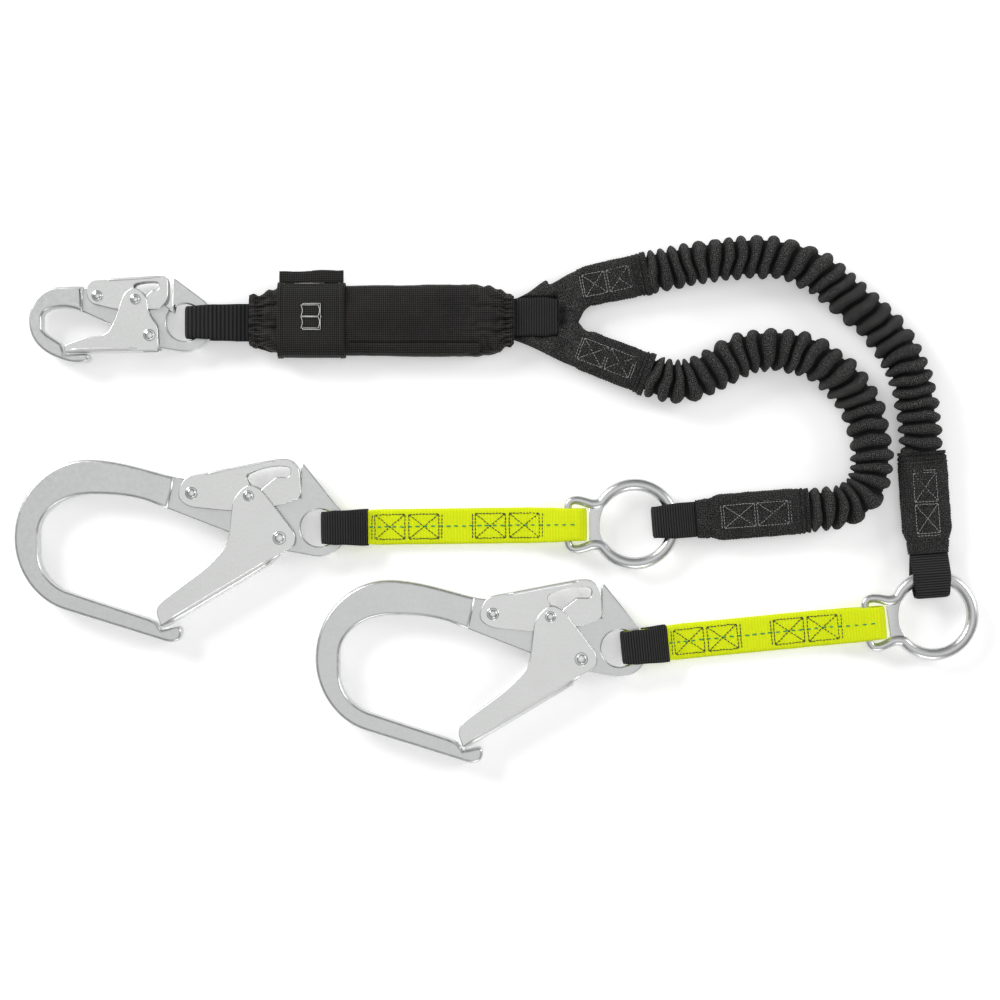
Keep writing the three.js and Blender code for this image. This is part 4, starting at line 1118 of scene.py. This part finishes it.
def yoke_arm(batch, left, right, inner_is_right):
    """One arm's cloth, between its two edges and closed all round."""
    place = Place()
    a, _ = spline([(x, y, 0) for x, y in left], 0.8)
    b, _ = spline([(x, y, 0) for x, y in right], 0.8)
    n, cols = 70, 34
    verts, uvs, painted_shade = [], [], []
    for i in range(n):
        pa = a[round(i / (n - 1) * (len(a) - 1))][0]
        pb = b[round(i / (n - 1) * (len(b) - 1))][0]
        for side in (1, -1):
            for j in range(cols):
                f = j / (cols - 1) if side == 1 else 1 - j / (cols - 1)
                x, y, _ = pa.lerp(pb, f)
                edge = max(0.0, 1 - abs(2 * f - 1) ** 5) ** 0.5
                if (f if inner_is_right else 1 - f) > 0.5:
                    edge = max(edge, 0.98 * unit((0.86 - i / n) / 0.1))
                lump = ripple(x * 0.1, y * 0.16, side * 3.0) + 0.4 * ripple(x * 0.4, y * 0.4, side * 5.0)
                knit = 0.14 * sin(x * 2.4 + 0.5 * sin(y * 0.3))
                z = side * (yoke_height(x, y) * (0.25 + 0.75 * edge) + lump + knit)
                verts.append(place((x, y, z)))
                uvs.append((i * 0.8, f * 28))
                # painted shade: lighter on lumps, dark in the recess beside the rear loop and along the
                # loop's edges
                recess_shade = exp(-(((x - 45.5) / 4.0) ** 2)) * exp(-(((y - LOOP_Y - 1) / 9.0) ** 4))
                under = exp(-(((abs(y - LOOP_Y) - 14.9) / 1.6) ** 2)) * (1 if x < 44 else 0)
                painted_shade.append(0.8 + 0.35 * lump - 0.8 * recess_shade - 0.45 * under)
    batch.add(verts, tube_faces(n, cols * 2), uvs, painted_shade)


def yoke():
    """Both legs' webbing, folded round the pack's rear loop and spread into a V."""
    batch = Batch()
    for letter, (left, right) in YOKE_ARMS.items():
        yoke_arm(batch, left, right, letter == "b")
    batch.make("yoke_cloth", "lanyard", KNIT, "elastic_knit", ["leg_yoke"])


yoke()


# ---------------- energy absorber pack
def pack():
    """The absorber's cloth cover, gathered at both mouths, with folds that fade away from them."""
    left, right = -187.5, 10.5
    half = [
        (left, 17.8), (left + 3.5, 19.4), (left + 6.5, 18.0), (left + 16, 22.2), (left + 30, 26.0),
        (-120, 26.4), (-40, 26.6), (right - 30, 26.6), (right - 20, 25.4), (right - 11, 22.0),
        (right - 5.5, 17.6), (right - 3.0, 18.3), (right, 16.6),
    ]
    tall = [
        (left, 7.2), (left + 3.5, 8.0), (left + 6.5, 6.9), (left + 18, 9.4), (left + 30, 9.6),
        (right - 32, 9.8), (right - 18, 9.6), (right - 5.5, 7.0), (right - 2.5, 8.2), (right, 7.4),
    ]

    def pleats(x, cx, cz, gather, reach, seed):
        """Folds that run out from a gather and merge as they go."""
        away = abs(x - gather)
        fade = exp(-((away / reach) ** 1.3))
        u = cx * 0.5 + (3.1 if cz < 0 else 0)
        sway = 0.05 * ripple(x * 0.13, u * 3.0, seed) + 0.002 * (x - gather) * sin(u * 17 + seed)
        fine = 1.0 - 2.1 * abs(sin(pi * (u + sway) * 11 + seed)) ** 0.55
        broad = 1.0 - 2.1 * abs(sin(pi * (u + 1.7 * sway) * 5.2 + seed * 2.1)) ** 0.6
        near = exp(-((away / (reach * 0.4)) ** 2))
        crumple = ripple(x * 0.17, u * 7.0, seed + 4.0)
        return -fade * (1.25 * fine * near + 1.7 * broad * (1 - 0.6 * near) + 1.9 * crumple)

    def ruffle(x, cx, cz):
        ridge = pleats(x, cx, cz, left + 6.5, 17.0, 1.3) + pleats(x, cx, cz, right - 5.5, 19.0, 5.9)
        slack = 0.9 * ripple(x * 0.03, cx * 1.5, 9.0) + 0.35 * ripple(x * 0.1, cx * 3, 2.0)
        seam = -1.3 * exp(-(((cx + 0.66) / 0.03) ** 2)) * (1 if -112 < x < -16 and cz > 0 else 0)
        return ridge + slack + seam

    xs = steps(left, right, 0.7)
    rows = [(x, -between(half, x), between(half, x), between(tall, x), 0.0) for x in xs]
    cover = slab(rows, Place(0, PACK_Y), 150, 0.42, 0.62, ruffle)
    cover = cover.make("absorber_pack", "lanyard", COVER, "cover_cloth", ["pack_cover"])
    paint("tear_webbing", BLACK_WEB)


pack()


BAND = (-166.0, -116.0)  # the ends of the label along the pack
BAND_HALF = 27.9  # half the label band's width across the pack
BAND_TALL = 10.7  # and half its height


def label_band():
    """A band of cloth round the pack: two layers 1 mm apart, with a hem at each edge."""
    place = Place(0, PACK_Y)
    x0, x1 = BAND
    n = 200
    ring = soft_ring(n, 0.42, 0.6)
    xs = steps(x0, x1, 0.8)
    m = len(xs)
    verts, uvs, faces = [], [], []
    for grow in (0.0, -1.0):
        for x in xs:
            d = min(x - x0, x1 - x)
            hem = 0.45 + 0.1 * sin(d * 6) if d < 3.4 else -0.35 if d < 4.6 else 0.0
            for c, z in ring:
                w = ripple(x * 0.05, c * 0.8, 6.0 if z > 0 else 1.0) * 0.4
                y = (BAND_HALF + grow + (hem + w) * abs(c)) * c
                h = (BAND_TALL + grow + (hem + w) * abs(z)) * z
                verts.append(place((x, y, off_floor(h, 0.1))))
                uvs.append((x, c * BAND_HALF + (60 if z < 0 else 0)))
    for layer in (0, 1):
        for i in range(m - 1):
            for j in range(n):
                a, b = layer * m * n + i * n + j, layer * m * n + i * n + (j + 1) % n
                f = (a, a + n, b + n, b)
                faces.append(f if layer else f[::-1])
    inner, last = m * n, (m - 1) * n
    for j in range(n):
        k = (j + 1) % n
        faces.append((j, inner + j, inner + k, k))
        faces.append((last + k, inner + last + k, inner + last + j, last + j))
    batch = Batch()
    batch.add(verts, faces, uvs)
    wrap = batch.make("label_band", "lanyard", LABEL, "label_cloth", ["label_wrap"])


def label_flap():
    """The label's loose edge, which stands out past the pack."""
    x0, x1 = BAND[0] + 1.0, BAND[1] - 1.0
    mid, half = (x0 + x1) / 2, (x1 - x0) / 2
    rows = []
    for x in steps(x0, x1, 0.8):
        t = (x - mid) / half
        top = 37.0 + 0.7 * t + 0.35 * sin(t * 5)
        rows.append((x, 27.7, top, 0.75, 4.0 + 0.5 * sin(t * 4 + 1)))
    flap = slab(rows, Place(0, PACK_Y), 26, 0.5, 0.6, lambda x, cx, _cz: 0.2 * ripple(x * 0.3, cx * 3, 1))
    edge = flap.make("label_flap_cloth", "label_flap", LABEL, "label_cloth", ["label_flap"])


def book_print():
    """The printed outline of an open book: two curled pages, and a cover that shows past them."""
    lines = []
    for side in (1, -1):
        curl = [(1.1 * sin(pi * k / 6), side * (0.3 + 8.3 * k / 6)) for k in range(7)]
        page = [(-6.6 + dx, y) for dx, y in curl] + [(6.2 + dx, y) for dx, y in curl[::-1]]
        lines.append(page + page[:1])
    cover = [(-5.2, -8.6), (-5.2, -9.7), (7.8, -9.7), (7.8, -1.0), (8.4, 0)]
    lines.append(cover + [(x, -y) for x, y in cover[-2::-1]])
    batch = Batch()
    for run in lines:
        for a, b in zip(run, run[1:]):
            span = hypot(b[0] - a[0], b[1] - a[1])
            stitch_run(batch, [a, b], Place(-141.5, 136.5), 11.35, (span, span + 0.3, 0.24))
    batch.make("open_book_print", "lanyard", PRINT, "white_print", ["book_pictogram"])


label_band()
label_flap()
book_print()
